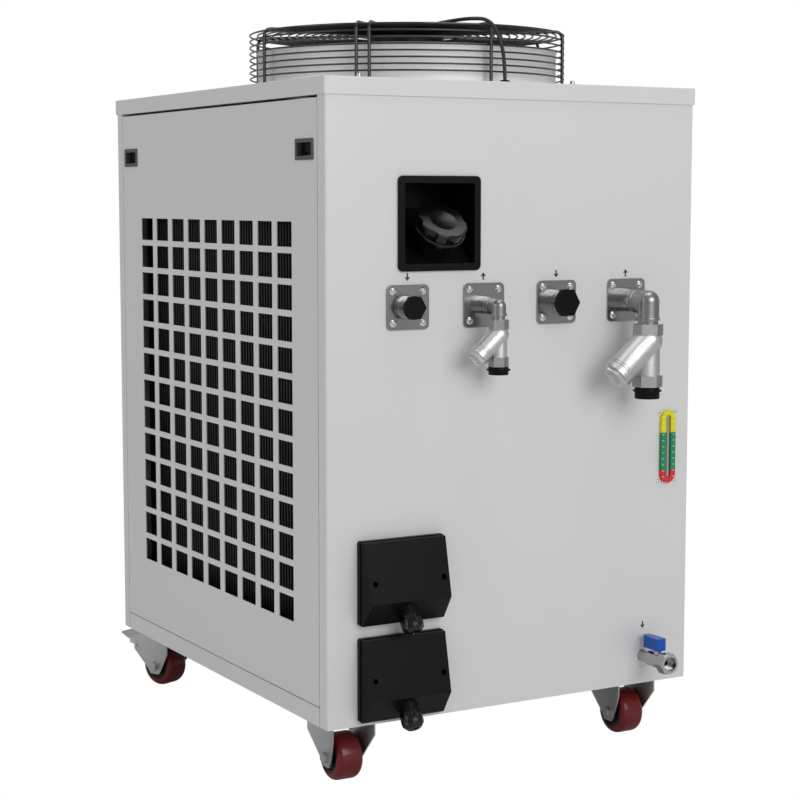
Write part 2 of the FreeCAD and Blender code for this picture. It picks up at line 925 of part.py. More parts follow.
def fork_leg(side, high):
    """One pressed leg with its edges flared outwards, trimmed to a taper."""
    near = leg_inner()
    far = near + fork_flare
    inner = [V(near, -fork_flat_half, 0), V(near, fork_flat_half, 0),
             V(far, fork_top_half, 0)]
    outer = [V(far + fork_thickness, fork_top_half, 0),
             V(near + fork_thickness, fork_flat_half, 0),
             V(near + fork_thickness, -fork_flat_half, 0),
             V(far + fork_thickness, -fork_top_half, 0)]
    outline = inner + outer + [V(far, -fork_top_half, 0)]
    leg = prism(outline, V(0, 0, high))
    low = wheel_radius - fork_tip
    taper = [V(0, -fork_tip * 0.7, low), V(0, fork_tip * 0.7, low),
             V(0, fork_top_half, high - fork_shoulder), V(0, fork_top_half, high),
             V(0, -fork_top_half, high), V(0, -fork_top_half, high - fork_shoulder)]
    leg = leg.common(prism(taper, V(far + 20, 0, 0)))
    if side < 0:
        leg = leg.mirror(V(0, 0, 0), X_AXIS)
    return leg


def axle(clear):
    reach = leg_inner() + fork_thickness
    bolt = rod(V(-reach, 0, wheel_radius), X_AXIS, axle_radius + clear, 2 * reach)
    if clear:
        return bolt
    for side in (-1, 1):
        bolt = bolt.fuse(hexagon(V(side * reach, 0, wheel_radius), X_AXIS * side,
                                 axle_nut_flats, axle_nut_height))
    return bolt


def caster_wheel():
    start = V(-wheel_width / 2, 0, wheel_radius)
    hub = tube(start, X_AXIS, hub_outer_radius, axle_radius + axle_clearance, wheel_width)
    for side in (-1, 1):
        face = V(side * (wheel_width / 2 - 4), 0, wheel_radius)
        hub = hub.cut(tube(face, X_AXIS * side, hub_outer_radius - 4, axle_radius + 6, 6))
    tyre = tube(start, X_AXIS, wheel_radius, hub_outer_radius, wheel_width)
    rims = [e for e in tyre.Edges if e.BoundBox.YLength > 2 * wheel_radius - 1]
    tyre = tyre.makeFillet(7, rims)
    return Part.makeCompound([hub, tyre])


def rigid_fork():
    plate = caster_plate()
    high = ground_clearance - caster_plate_thickness
    solid = plate.fuse(fork_leg(1, high)).fuse(fork_leg(-1, high)).removeSplitter()
    return Part.makeCompound([solid.cut(axle(0)), axle(0)])


def swivel_plate():
    """The fixed half of a swivel caster, with its upper race and kingpin."""
    low = ground_clearance - caster_plate_thickness
    race = rod(V(0, 0, low), -Z_AXIS, swivel_race_radius, swivel_race_height)
    pin = rod(V(0, 0, low), -Z_AXIS, kingpin_radius,
              swivel_race_height + swivel_clearance + swivel_crown)
    return caster_plate().fuse(race).fuse(pin)


def crown_top():
    return ground_clearance - caster_plate_thickness - swivel_race_height - swivel_clearance


def swivel_fork():
    """The turning half: crown, two legs set back by the trail, and the axle."""
    top = crown_top()
    crown = rod(V(0, 0, top), -Z_AXIS, leg_inner() + fork_thickness + fork_flare, swivel_crown)
    crown = crown.fuse(block(-leg_inner() - fork_thickness, 0, top - swivel_crown,
                             leg_inner() + fork_thickness, swivel_trail + fork_web_reach,
                             top - swivel_crown + fork_web_thickness))
    legs = []
    for side in (-1, 1):
        leg = fork_leg(side, top)
        leg.translate(V(0, swivel_trail, 0))
        legs.append(leg)
        ear = block(min(side * leg_inner(), side * (leg_inner() + fork_thickness)),
                    swivel_trail + ear_front, pedal_pivot_height - ear_half,
                    max(side * leg_inner(), side * (leg_inner() + fork_thickness)),
                    pedal_pivot + ear_half, pedal_pivot_height + ear_half)
        legs.append(ear)
    fork = crown.multiFuse(legs)
    fork = fork.cut(rod(V(0, 0, 0), Z_AXIS, kingpin_radius + axle_clearance, ground_clearance))
    bolt = axle(0)
    bolt.translate(V(0, swivel_trail, 0))
    reach = leg_inner() + fork_thickness + 1
    pin_hole = rod(V(-reach - 20, pedal_pivot, pedal_pivot_height), X_AXIS,
                   pedal_pin_radius + axle_clearance, 2 * reach + 40)
    return Part.makeCompound([fork.cut(bolt).cut(pin_hole).removeSplitter(), bolt])


def brake_pedal():
    """A pressed pedal on a cross pin, above and behind the wheel."""
    half = pedal_width / 2
    top = pedal_pivot_height + pedal_pin_radius
    flat = top + pedal_crank
    lower = [(pedal_pivot - pedal_heel, top), (pedal_pivot + pedal_bend, flat),
             (pedal_reach - pedal_tip, flat), (pedal_reach, top + pedal_rise)]
    upper = [(y, z + pedal_thickness) for y, z in reversed(lower)]
    plate = prism([V(-half, y, z) for y, z in lower + upper], V(pedal_width, 0, 0))
    cheek_side = [(pedal_pivot - pedal_heel + 1, top + 1), (pedal_pivot - pedal_heel + 1, top - pedal_heel),
                  (pedal_pivot + pedal_heel, top - cheek_drop),
                  (pedal_reach - cheek_end, top - cheek_drop / 2), (pedal_reach - cheek_end, flat + 1)]
    cheeks = []
    for x0 in (-half, half - pedal_thickness):
        cheeks.append(prism([V(x0, y, z) for y, z in cheek_side], V(pedal_thickness, 0, 0)))
    reach = leg_inner() + fork_thickness + pedal_crank
    pin = rod(V(-reach, pedal_pivot, pedal_pivot_height), X_AXIS, pedal_pin_radius, 2 * reach)
    return plate.multiFuse(cheeks + [pin])


def at_caster(shape, centre, angle):
    placed = shape.copy()
    placed.rotate(V(0, 0, 0), Z_AXIS, angle)
    placed.translate(centre)
    return placed


def swivel_turn(name):
    """Both rear forks trail outwards and back, as mirror images."""
    return -swivel_angle if name == "back_left" else swivel_angle


# Pipe connections
def stub_bore(end):
    """Radius of the hole through a stub."""
    return min(end["radius"], stub_radius) - stub_wall


def flange(port, end):
    """A square plate with its pipe stub welded through it."""
    half_x = plate_width / 2
    half_z = plate_height / 2
    plate = rounded_block(port.x - half_x, front - plate_thickness, port.z - half_z,
                          port.x + half_x, front, port.z + half_z, plate_corner, Y_AXIS)
    holes = [rod(place - Y_AXIS, Y_AXIS, plate_screw_radius + screw_clearance, 8)
             for place in plate_screw_places(port)]
    tip = V(port.x, front - end["front"], port.z)
    outside = rod(tip, Y_AXIS, end["radius"], end["front"])
    inside = rod(V(port.x, front - plate_thickness, port.z), Y_AXIS, stub_radius,
                 plate_thickness + stub_inside)
    groove = tube(tip + Y_AXIS * stub_groove_place, Y_AXIS,
                  end["radius"] + 1, end["radius"] - 1, stub_groove)
    bore = rod(tip - Y_AXIS, Y_AXIS, stub_bore(end), end["front"] + stub_inside + 2)
    return plate.multiFuse([outside, inside]).cut(bore).cut(groove).cut(Part.makeCompound(holes))


def inlet_plug(port, end, plug):
    """A black hexagon plug with a round collar and its shank in the stub's bore."""
    seat = port_point(port, end["front"], 0)
    head = hexagon(port_point(port, plug["reach"], 0), Y_AXIS, plug["flats"],
                   plug["reach"] - end["front"])
    collar = rod(seat, -Y_AXIS, plug["flats"] / 2 + plug_collar_edge, plug_collar)
    shank = rod(seat, Y_AXIS, stub_bore(end) - rest_gap, plug_shank)
    return head.multiFuse([collar, shank])


def port_point(port, reach, drop):
    return V(port.x, front - reach, port.z - drop)


def outlet_elbow(port, size, end):
    """Two short barrels that meet in a ball, with a thread at each end."""
    seat = port_point(port, end["front"], 0)
    corner = port_point(port, size["reach"], 0)
    fall = size["top"] - elbow_nipple
    bottom = port_point(port, size["reach"], fall)

    def barrels(radius, past):
        run = rod(corner, Y_AXIS, radius, size["reach"] - end["front"] + past)
        drop = rod(corner, -Z_AXIS, radius, fall + past)
        return run.multiFuse([drop, Part.makeSphere(radius, corner)])

    outer = size["elbow"]
    collars = [rod(seat, -Y_AXIS, outer + elbow_collar, elbow_collar_length),
               rod(bottom, Z_AXIS, outer + elbow_collar, elbow_collar_length)]
    shank = rod(seat, Y_AXIS, stub_bore(end) - rest_gap, outlet_shank)
    thread = rod(bottom, -Z_AXIS, size["body"] - outlet_wall - rest_gap, outlet_shank + elbow_nipple)
    bore_radius = min(outer, size["body"] - outlet_wall, stub_bore(end)) - outlet_wall
    bore = barrels(bore_radius, outlet_shank + elbow_nipple + 1)
    return barrels(outer, 0).multiFuse(collars + [shank, thread]).cut(bore)


def strainer_branch(port, size):
    """Start and direction of the strainer's slanted branch."""
    start = port_point(port, size["reach"], size["branch"])
    slope = math.radians(branch_slope)
    return start, V(-math.cos(slope), 0, -math.sin(slope))


def strainer_body(port, size):
    """A cast Y body with a hexagon at each end and an open slanted branch."""
    top = port_point(port, size["reach"], size["top"])
    low = port_point(port, size["reach"], size["low_hex"] + size["hex"])
    length = top.z - low.z
    start, slant = strainer_branch(port, size)
    body = rod(low, Z_AXIS, size["body"], length)
    upper = hexagon(top, -Z_AXIS, size["flats"], size["hex"], hex_turn)
    lower = hexagon(low, Z_AXIS, size["flats"], size["hex"], hex_turn)
    branch = rod(start, slant, size["branch_radius"], size["branch_length"])
    root = Part.makeSphere(size["branch_radius"], start)
    rim = rod(start + slant * (size["branch_length"] - 5), slant, size["branch_radius"] + 1, 5)
    cast = body.multiFuse([upper, lower, branch, root, rim])
    cast = cast.cut(rod(low - Z_AXIS, Z_AXIS, size["body"] - outlet_wall, length + 2))
    return cast.cut(rod(start, slant, size["branch_radius"] - outlet_wall, size["branch_length"] + 1))


def strainer_cap(port, size):
    """The hexagon plug that closes the branch, with a bar cast across it."""
    start, slant = strainer_branch(port, size)
    seat = start + slant * size["branch_length"]
    rim = rod(seat, slant, size["branch_radius"] + 1, strainer_cap_height * 0.35)
    head = hexagon(seat, slant, size["cap_flats"], strainer_cap_height)
    shank = rod(seat, -slant, size["branch_radius"] - outlet_wall - rest_gap, strainer_cap_shank)
    half = size["bar_length"] / 2
    bar = block(-half, -size["bar_width"] / 2, 0, half, size["bar_width"] / 2, cap_bar_height)
    bar = turned(bar, seat + slant * strainer_cap_height, slant)
    return rim.multiFuse([head, shank, bar])


def outlet_plug(port, size):
    """A black plastic plug with a thin rim in the strainer's lower end."""
    seat = port_point(port, size["reach"], size["low_hex"] + size["hex"])
    shank = rod(seat, Z_AXIS, size["body"] - outlet_wall - rest_gap, outlet_shank)
    neck = rod(seat, -Z_AXIS, size["plug_radius"], size["plug"])
    rim_place = seat - Z_AXIS * (size["plug"] * 0.25)
    rim = rod(rim_place, -Z_AXIS, size["plug_radius"] + 3, plug_rim)
    return neck.multiFuse([shank, rim])


# Filler
def filler_opening():
    """Left, right, low and high of the recess opening."""
    low = from_floor(filler_bottom + filler_border)
    high = from_floor(filler_bottom + filler_height - filler_border)
    x0 = from_left(filler_left + filler_border)
    x1 = from_left(filler_left + filler_width - filler_border)
    return x0, x1, low, high


def filler_pocket_block(wall):
    x0, x1, low, high = filler_opening()
    return block(x0 - wall, front - 1, low - wall, x1 + wall, front + sheet + 1, high + wall)


def pocket_outline(x, wall):
    """Side outline of the pocket, with its floor rising towards the back."""
    low, high = filler_opening()[2:]
    slope = math.tan(math.radians(filler_floor_slope))
    fall = wall / math.cos(math.radians(filler_floor_slope))
    mouth = front if wall else front - filler_lip - 1
    deep = front + filler_pocket + wall
    knee = front + filler_floor_start + (fall - wall) / slope
    back_z = low - wall + slope * (deep - knee)
    return [V(x, mouth, low - wall), V(x, knee, low - wall), V(x, deep, back_z),
            V(x, deep, high + wall), V(x, mouth, high + wall)]


def filler_tray():
    x0, x1 = filler_opening()[:2]
    left_x = from_left(filler_left)
    low_z = from_floor(filler_bottom)
    frame = rounded_block(left_x, front - filler_lip, low_z, left_x + filler_width, front,
                          low_z + filler_height, filler_corner, Y_AXIS)
    rim = [e for e in frame.Edges if abs(e.BoundBox.YMax - (front - filler_lip)) < 1e-3]
    frame = frame.makeFillet(1.5, rim)
    shell = prism(pocket_outline(x0 - filler_wall, filler_wall), V(x1 - x0 + 2 * filler_wall, 0, 0))
    hollow = prism(pocket_outline(x0, 0), V(x1 - x0, 0, 0))
    tray = frame.fuse(shell).cut(hollow)
    return tray.cut(rod(neck_base(), -neck_aim(), neck_spigot_radius + rest_gap, 10))


def neck_aim():
    """The neck stands square on the pocket's slanting floor."""
    tilt = math.radians(filler_floor_slope)
    return V(0, -math.sin(tilt), math.cos(tilt))


def neck_base():
    low = filler_opening()[2]
    rise = (neck_depth - filler_floor_start) * math.tan(math.radians(filler_floor_slope))
    return V(from_left(neck_x), from_front(neck_depth), low + rise)


def filler_neck():
    """A flared neck with a wide collar, a threaded mouth and a hose spigot."""
    base = neck_base()
    aim = neck_aim()
    flare = Part.makeCone(neck_base_radius, neck_top_radius, neck_length, base, aim)
    collar = rod(base + aim * neck_length, aim, collar_radius, collar_thickness)
    seat = base + aim * (neck_length + collar_thickness)
    thread = rod(seat, aim, neck_thread_radius, neck_thread_length)
    spigot = rod(base, -aim, neck_spigot_radius, neck_spigot_length)
    neck = flare.multiFuse([collar, thread, spigot])
    total = neck_spigot_length + neck_length + collar_thickness + neck_thread_length
    return neck.cut(rod(base - aim * (neck_spigot_length + 1), aim, neck_bore_radius, total + 2))


def cap_seat():
    return neck_base() + neck_aim() * (neck_length + collar_thickness + cap_gap)


def filler_cap():
    """A lobed cap that turns on the neck's mouth."""
    body = Part.makeCylinder(cap_radius, cap_height)
    rim = [e for e in body.Edges if e.BoundBox.ZMin > cap_height - 0.1]
    body = body.makeFillet(3, rim)
    reach = cap_radius + cap_scallop - cap_scallop_depth
    for number in range(cap_lobes):
        turn = 2 * math.pi * number / cap_lobes
        place = V(reach * math.cos(turn), reach * math.sin(turn), -1)
        body = body.cut(rod(place, Z_AXIS, cap_scallop, cap_height + 2))
    hollow = Part.makeCylinder(neck_thread_radius + cap_gap, cap_height - cap_roof)
    dish_centre = V(0, 0, cap_height + cap_dish_radius - cap_dish_depth)
    dish = Part.makeSphere(cap_dish_radius, dish_centre)
    return turned(body.cut(hollow).cut(dish), cap_seat(), neck_aim())


# Level gauge
def stadium(width, height, y0, y1):
    centre = V(from_left(gauge_x), 0, from_floor(gauge_middle))
    return rounded_block(centre.x - width / 2, y0, centre.z - height / 2,
                         centre.x + width / 2, y1, centre.z + height / 2, width / 2 - 0.01, Y_AXIS)


def level_gauge():
    strip = stadium(gauge_width, gauge_height, front - gauge_thickness, front)
    slot = stadium(gauge_slot_width, gauge_slot_height + 2 * gauge_tube_radius,
                   front - gauge_thickness - 1, front + 1)
    return strip.cut(slot)


def gauge_tube():
    """The clear sight tube with its two arms into the tank's front."""
    centre = V(from_left(gauge_x), front - gauge_tube_radius, from_floor(gauge_middle))
    low = centre - Z_AXIS * (gauge_slot_height / 2)
    radius = gauge_tube_radius - rest_gap
    upright = rod(low, Z_AXIS, radius, gauge_slot_height)
    parts = []
    for end in (-1, 1):
        place = centre + Z_AXIS * (end * gauge_slot_height / 2)
        parts.append(rod(place, Y_AXIS, radius, tank_front + gauge_tube_radius))
        parts.append(Part.makeSphere(radius, place))
    return upright.multiFuse(parts)


# Junction boxes
def box_corner_place(bottom):
    return V(from_left(box_left), front, from_floor(bottom))


def junction_base(bottom):
    place = box_corner_place(bottom)
    base = rounded_block(place.x, front - box_base_depth, place.z, place.x + box_width, front,
                         place.z + box_height, box_corner, Y_AXIS)
    for screw in junction_screw_places(bottom):
        base = base.cut(rod(screw - Y_AXIS, Y_AXIS, gauge_screw_radius + screw_clearance,
                            box_screw_bite + 2))
    return base


def box_profile(x, place, inset):
    """Side outline of a cover: shallow at the top, deepest above a low chamfer."""
    back_y = front - box_base_depth
    low = place.z + inset
    high = place.z + box_height - box_gap - inset
    return [V(x, back_y, low), V(x, front - box_low_depth, low),
            V(x, front - box_full_depth + inset, place.z + box_chamfer_height),
            V(x, front - box_top_depth + inset, high), V(x, back_y, high)]


def junction_cover(bottom):
    place = box_corner_place(bottom)
    x0 = place.x + box_gap
    width = box_width - 2 * box_gap
    cover = prism(box_profile(x0, place, 0), V(width, 0, 0))
    for side in (-1, 1):
        edge = x0 if side < 0 else x0 + width
        back_y = front - box_base_depth
        deep = box_full_depth - box_base_depth
        wedge = [V(edge, back_y, 0), V(edge - side * box_side_slope, back_y - deep, 0),
                 V(edge - side * box_side_slope, back_y - deep - 20, 0),
                 V(edge + side * 20, back_y - deep - 20, 0), V(edge + side * 20, back_y, 0)]
        cutter = prism(wedge, V(0, 0, box_height + 20))
        cutter.translate(V(0, 0, place.z - 10))
        cover = cover.cut(cutter)
    posts = Part.makeCompound([rod(screw, -Y_AXIS, box_hole_radius + box_post_wall, box_full_depth)
                               for screw in junction_screw_places(bottom)]).common(cover)
    hollow_x = x0 + box_side_slope + box_wall
    hollow = prism(box_profile(hollow_x, place, box_wall),
                   V(width - 2 * box_side_slope - 2 * box_wall, 0, 0))
    axis_start, aim = gland_axis(bottom)
    boss = rod(axis_start - aim * gland_boss_length, aim, gland_boss_radius, 2 * gland_boss_length)
    behind = block(place.x, front - box_base_depth, place.z - 50,
                   place.x + box_width, front + 50, place.z + box_height)
    boss = boss.cut(behind)
    cover = cover.cut(hollow).fuse(posts).fuse(boss)
    for screw in junction_screw_places(bottom):
        cover = cover.cut(rod(screw - Y_AXIS * box_post_floor, -Y_AXIS, box_hole_radius, box_full_depth))
        cover = cover.cut(rod(screw + Y_AXIS, -Y_AXIS, gauge_screw_radius + screw_clearance,
                              box_post_floor + 2))
    deep = 2 * gland_boss_length + 20
    return cover.cut(rod(axis_start - aim * deep / 2, aim, gland_shank_radius + rest_gap, deep))


def junction_screw_places(bottom):
    place = box_corner_place(bottom)
    places = []
    for side in (box_hole_inset, box_width - box_hole_inset):
        places.append(V(place.x + side, front - box_base_depth, place.z + box_hole_height))
    return places


def junction_screw(place):
    """A screw down in the cover's post, biting into the base."""
    seat = place - Y_AXIS * box_post_floor
    return dome_screw(seat, -Y_AXIS, gauge_screw_radius, gauge_screw_head,
                      box_post_floor + box_screw_bite)


def gland_axis(bottom):
    """A point on the low chamfer and the way the cable leaves it."""
    place = box_corner_place(bottom)
    tilt = math.radians(gland_tilt)
    share = gland_place / box_chamfer_height
    depth = box_low_depth + (box_full_depth - box_low_depth) * share
    start = V(place.x + box_width / 2, front - depth, place.z + gland_place)
    return start, V(0, -math.cos(tilt), -math.sin(tilt))


def cable_gland(bottom):
    """A gland body with its hexagon, domed nut and open bore."""
    start, aim = gland_axis(bottom)
    seat = start + aim * gland_boss_length
    shank = rod(seat - aim * (gland_boss_length + 6), aim, gland_shank_radius, gland_boss_length + 7)
    body = hexagon(seat, aim, gland_flats, gland_flats_length)
    nut_seat = seat + aim * gland_flats_length
    nut = rod(nut_seat, aim, gland_nut_radius, gland_nut_length)
    dome = Part.makeCone(gland_nut_radius, gland_dome_radius, gland_dome_length,
                         nut_seat + aim * gland_nut_length, aim)
    gland = shank.multiFuse([body, nut, dome])
    return gland.cut(rod(start - aim * 20, aim, gland_bore, 80))


# Drain valve
def drain_point(reach):
    place = drain_place()
    return V(place.x, front - reach, place.z)


def drain_valve_body():
    """A short ball valve on a nipple, with an open female port."""
    nipple = rod(drain_point(drain_nipple), Y_AXIS, drain_nipple_radius,
                 drain_nipple + drain_inside)
    length = drain_reach - drain_nipple
    body = rod(drain_point(drain_reach), Y_AXIS, drain_barrel_radius, length)
    flats = hexagon(drain_point(drain_reach), Y_AXIS, drain_body_flats, drain_flats_length)
    cone = Part.makeCone(drain_body_flats / 2, drain_body_flats, drain_body_flats,
                         drain_point(drain_reach), Y_AXIS)
    flats = flats.common(cone)
    boss = rod(drain_point(drain_stem_place), Z_AXIS, drain_stem_radius + stem_boss_wall,
               drain_body_flats / 2 + stem_boss_rise)
    valve = nipple.multiFuse([body, flats, boss])
    bore = rod(drain_point(drain_reach + 1), Y_AXIS, drain_port_radius, drain_port_length + 1)
    way = rod(drain_point(drain_reach), Y_AXIS, drain_nipple_radius - 3, drain_reach + 40)
    cavity = Part.makeSphere(drain_ball_radius + drain_cavity_gap, drain_point(drain_stem_place))
    stem = rod(drain_point(drain_stem_place), Z_AXIS, drain_stem_radius + axle_clearance, 40)
    return valve.cut(bore).cut(way).cut(cavity).cut(stem)


def drain_stem():
    """The bored ball with its stem."""
    centre = drain_point(drain_stem_place)
    ball = Part.makeSphere(drain_ball_radius, centre)
    stem = rod(centre, Z_AXIS, drain_stem_radius, drain_stem_height)
    way = rod(centre - Y_AXIS * 20, Y_AXIS, drain_nipple_radius - 3, 40)
    return ball.fuse(stem).cut(way)


def drain_lever():
    """The lever on the stem, lying along the valve when it is open."""
    centre = drain_point(drain_stem_place)
    low = centre.z + drain_body_flats / 2 + lever_gap
    half = lever_width / 2
    outline = [V(centre.x - half, centre.y - half, low), V(centre.x + half, centre.y - half, low),
               V(centre.x + half * 0.8, centre.y + lever_length - lever_end, low),
               V(centre.x + half * 0.5, centre.y + lever_length, low),
               V(centre.x - half * 0.5, centre.y + lever_length, low),
               V(centre.x - half * 0.8, centre.y + lever_length - lever_end, low)]
    lever = prism(outline, V(0, 0, lever_height))
    lever = lever.makeFillet(2, edges_along(lever, Z_AXIS))
    hole = rod(centre, Z_AXIS, drain_stem_radius, drain_stem_height)
    return lever.cut(hole)


# Latches
def latch_frame(centre):
    half_y = latch_width / 2
    half_z = latch_height / 2
    face = rounded_block(left - latch_proud, centre.y - half_y, centre.z - half_z,
                         left, centre.y + half_y, centre.z + half_z, 2, X_AXIS)
    wall_y = half_y - latch_wall
    wall_z = half_z - latch_wall
    cup = block(left, centre.y - wall_y, centre.z - wall_z,
                left + latch_depth, centre.y + wall_y, centre.z + wall_z)
    hollow = block(left - latch_proud - 1, centre.y - wall_y + latch_skin, centre.z - wall_z + latch_skin,
                   left + latch_depth - latch_skin, centre.y + wall_y - latch_skin,
                   centre.z + wall_z - latch_skin)
    pin_place = latch_pin(centre)
    frame = face.fuse(cup).cut(hollow)
    return frame.cut(rod(V(pin_place.x, centre.y - wall_y - 1, pin_place.z), Y_AXIS,
                         latch_pin_radius + axle_clearance, 2 * wall_y + 2))


def latch_pin(centre):
    """Axis of the paddle, along Y near its upper edge."""
    wall_z = latch_height / 2 - latch_wall - latch_skin
    return V(left + paddle_depth + paddle_thickness, centre.y, centre.z + wall_z - latch_pin_drop)


def latch_paddle(centre):
    half_y = latch_width / 2 - latch_wall - latch_skin - paddle_gap
    pin_place = latch_pin(centre)
    low = centre.z - latch_height / 2 + latch_wall + latch_skin + paddle_gap + latch_grip
    plate = block(left + paddle_depth, centre.y - half_y, low, left + paddle_depth + paddle_thickness,
                  centre.y + half_y, pin_place.z + latch_pin_radius)
    knuckle = rod(V(pin_place.x, centre.y - half_y, pin_place.z), Y_AXIS, latch_knuckle, 2 * half_y)
    reach = latch_width / 2 - latch_wall - 0.5
    pin = rod(V(pin_place.x, centre.y - reach, pin_place.z), Y_AXIS, latch_pin_radius, 2 * reach)
    return plate.multiFuse([knuckle, pin])


# Inside
def inside_block(x0, x1, y0, y1, z0, z1):
    """A block placed from the left edge, the pipe side and the cabinet's floor."""
    return block(from_left(x0), from_front(y0), from_floor(z0),
                 from_left(x1), from_front(y1), from_floor(z1))


def inside_point(x, y, z):
    return V(from_left(x), from_front(y), from_floor(z))


def water_tank():
    """A closed tank on four legs, with its spigots."""
    tank = inside_block(tank_left, tank_right, tank_front, tank_back, tank_bottom, tank_top)
    tank = tank.makeFillet(6, edges_along(tank, Z_AXIS))
    parts = []
    for x in (tank_left, tank_right - tank_leg):
        for y in (tank_front, tank_back - tank_leg):
            parts.append(inside_block(x + 2, x + tank_leg - 2, y + 2, y + tank_leg - 2,
                                      base_floor, tank_bottom))
    for port in (port_places()[0], port_places()[2]):
        parts.append(spigot(V(port.x, from_front(hose_depth), from_floor(tank_top)), Z_AXIS))
    parts.append(spigot(inside_point(pump_port_x(), tank_back, pump_axis_height), Y_AXIS))
    fill = fill_hose_end()
    parts.append(rod(fill, Z_AXIS, neck_spigot_radius, spigot_length))
    parts.append(rod(inside_point(drain_x, drain_hose_depth, tank_bottom), -Z_AXIS,
                     drain_nipple_radius, spigot_length))
    return tank.multiFuse(parts)


def spigot(start, direction):
    return rod(start, direction, spigot_radius, spigot_length)


def fill_hose_end():
    return V(from_left(neck_x), from_front(fill_hose_depth), from_floor(tank_top))


def pump_port_x():
    return pump_x - pump_motor_length / 2 - pump_head_length / 2


def water_pump():
    x0 = pump_x - pump_motor_length / 2
    head = rod(inside_point(x0 - pump_head_length, pump_y, pump_axis_height), X_AXIS,
               pump_head_radius, pump_head_length)
    motor = rod(inside_point(x0, pump_y, pump_axis_height), X_AXIS,
                pump_motor_radius, pump_motor_length)
    foot = inside_block(x0 + 15, x0 + pump_motor_length - 15, pump_y - 45, pump_y + 45,
                        base_floor, pump_axis_height - pump_motor_radius + 12)
    suction = rod(inside_point(pump_port_x(), pump_y, pump_axis_height), -Y_AXIS,
                  spigot_radius, pump_head_radius + spigot_length)
    outlet = rod(inside_point(pump_port_x(), pump_y, pump_axis_height), Z_AXIS,
                 spigot_radius, pump_head_radius + spigot_length)
    box = inside_block(x0 + 40, x0 + 110, pump_y - 30, pump_y + 30,
                       pump_axis_height, pump_axis_height + pump_motor_radius + 28)
    return head.multiFuse([motor, foot, suction, outlet, box])


def exchanger_ports():
    """Low and high levels of the ports, and their offset from the middle."""
    low = exchanger_foot + exchanger_port_inset
    high = exchanger_foot + exchanger_height - exchanger_port_inset
    return low, high, exchanger_port_side


def plate_heat_exchanger():
    x0 = exchanger_x - exchanger_width / 2
    y0 = exchanger_y - exchanger_depth / 2
    y1 = y0 + exchanger_depth
    stack = inside_block(x0, x0 + exchanger_width, y0, y1,
                         exchanger_foot, exchanger_foot + exchanger_height)
    stack = stack.makeFillet(14, edges_along(stack, Y_AXIS))
    low, high, side = exchanger_ports()
    parts = [inside_block(x0 + 12, x0 + exchanger_width - 12, y0 + 8, y1 - 8,
                          base_floor, exchanger_foot + 20)]
    for x, z in ((-side, low), (-side, high), (side, high)):
        parts.append(spigot(inside_point(exchanger_x + x, y0, z), -Y_AXIS))
    for z in (low, high):
        parts.append(rod(inside_point(exchanger_x + side, y1, z), Y_AXIS, copper_radius, spigot_length))
    return stack.multiFuse(parts)


def compressor():
    centre = inside_point(compressor_x, compressor_y, base_floor)
    half = compressor_radius * 0.85
    foot = block(centre.x - half, centre.y - half, centre.z,
                 centre.x + half, centre.y + half, centre.z + compressor_foot)
    shell = rod(centre + Z_AXIS * compressor_foot, Z_AXIS, compressor_radius, compressor_height)
    rims = [e for e in shell.Edges if e.BoundBox.XLength > compressor_radius]
    shell = shell.makeFillet(compressor_radius * 0.35, rims)
    neck = rod(centre, Z_AXIS, compressor_radius * 0.5, compressor_foot * 2 + 20)
    parts = [foot, neck]
    for side in (-1, 1):
        place = centre + X_AXIS * (side * compressor_port_pitch / 2)
        parts.append(rod(place + Z_AXIS * compressor_height, Z_AXIS, copper_radius,
                         compressor_foot + spigot_length))
    return shell.multiFuse(parts)


def compressor_port(side):
    return inside_point(compressor_x + side * compressor_port_pitch / 2, compressor_y,
                        base_floor + compressor_height + compressor_foot + spigot_length)


def coil_port(end):
    x = left + panel_fold + coil_gap + coil_thickness + 20
    return V(x, coil_width / 2 - 40, from_floor(coil_bottom + coil_height * end))


def exchanger_back_port(z):
    side = exchanger_ports()[2]
    return inside_point(exchanger_x + side, exchanger_y + exchanger_depth / 2 + spigot_length, z)


def refrigerant_lines():
    """Discharge, liquid and suction pipes of the cooling circuit."""
    low, high = exchanger_ports()[:2]
    start = compressor_port(-1)
    end = coil_port(0.88)
    discharge = [start, start + Z_AXIS * 90, start + V(-110, 20, 260),
                 end + V(70, -40, -60), end + V(36, 0, 0), end]
    drier_out = coil_port(0.12) + X_AXIS * (drier_length + 20)
    port = exchanger_back_port(low)
    liquid = [drier_out, drier_out + X_AXIS * 40, V(port.x, drier_out.y - 30, drier_out.z - 60),
              port + Y_AXIS * 40, port]
    upper = exchanger_back_port(high)
    back_end = compressor_port(1)
    suction = [upper, upper + Y_AXIS * 30, upper + V(40, 70, 60), back_end + V(-70, 50, 60),
               back_end + Z_AXIS * 40, back_end]
    pipes = [swept_solid(points, copper_radius) for points in (discharge, liquid, suction)]
    return Part.makeCompound(pipes + [filter_drier()])


def filter_drier():
    start = coil_port(0.12)
    body = rod(start + X_AXIS * 10, X_AXIS, drier_radius, drier_length)
    ends = [e for e in body.Edges if e.BoundBox.YLength > drier_radius]
    body = body.makeFillet(drier_radius * 0.5, ends)
    return body.fuse(rod(start, X_AXIS, copper_radius, drier_length + 20))


def water_hose(points):
    """A hose pushed over the spigots at both its ends."""
    return hose(points, spigot_radius + hose_fit + hose_wall, hose_wall)


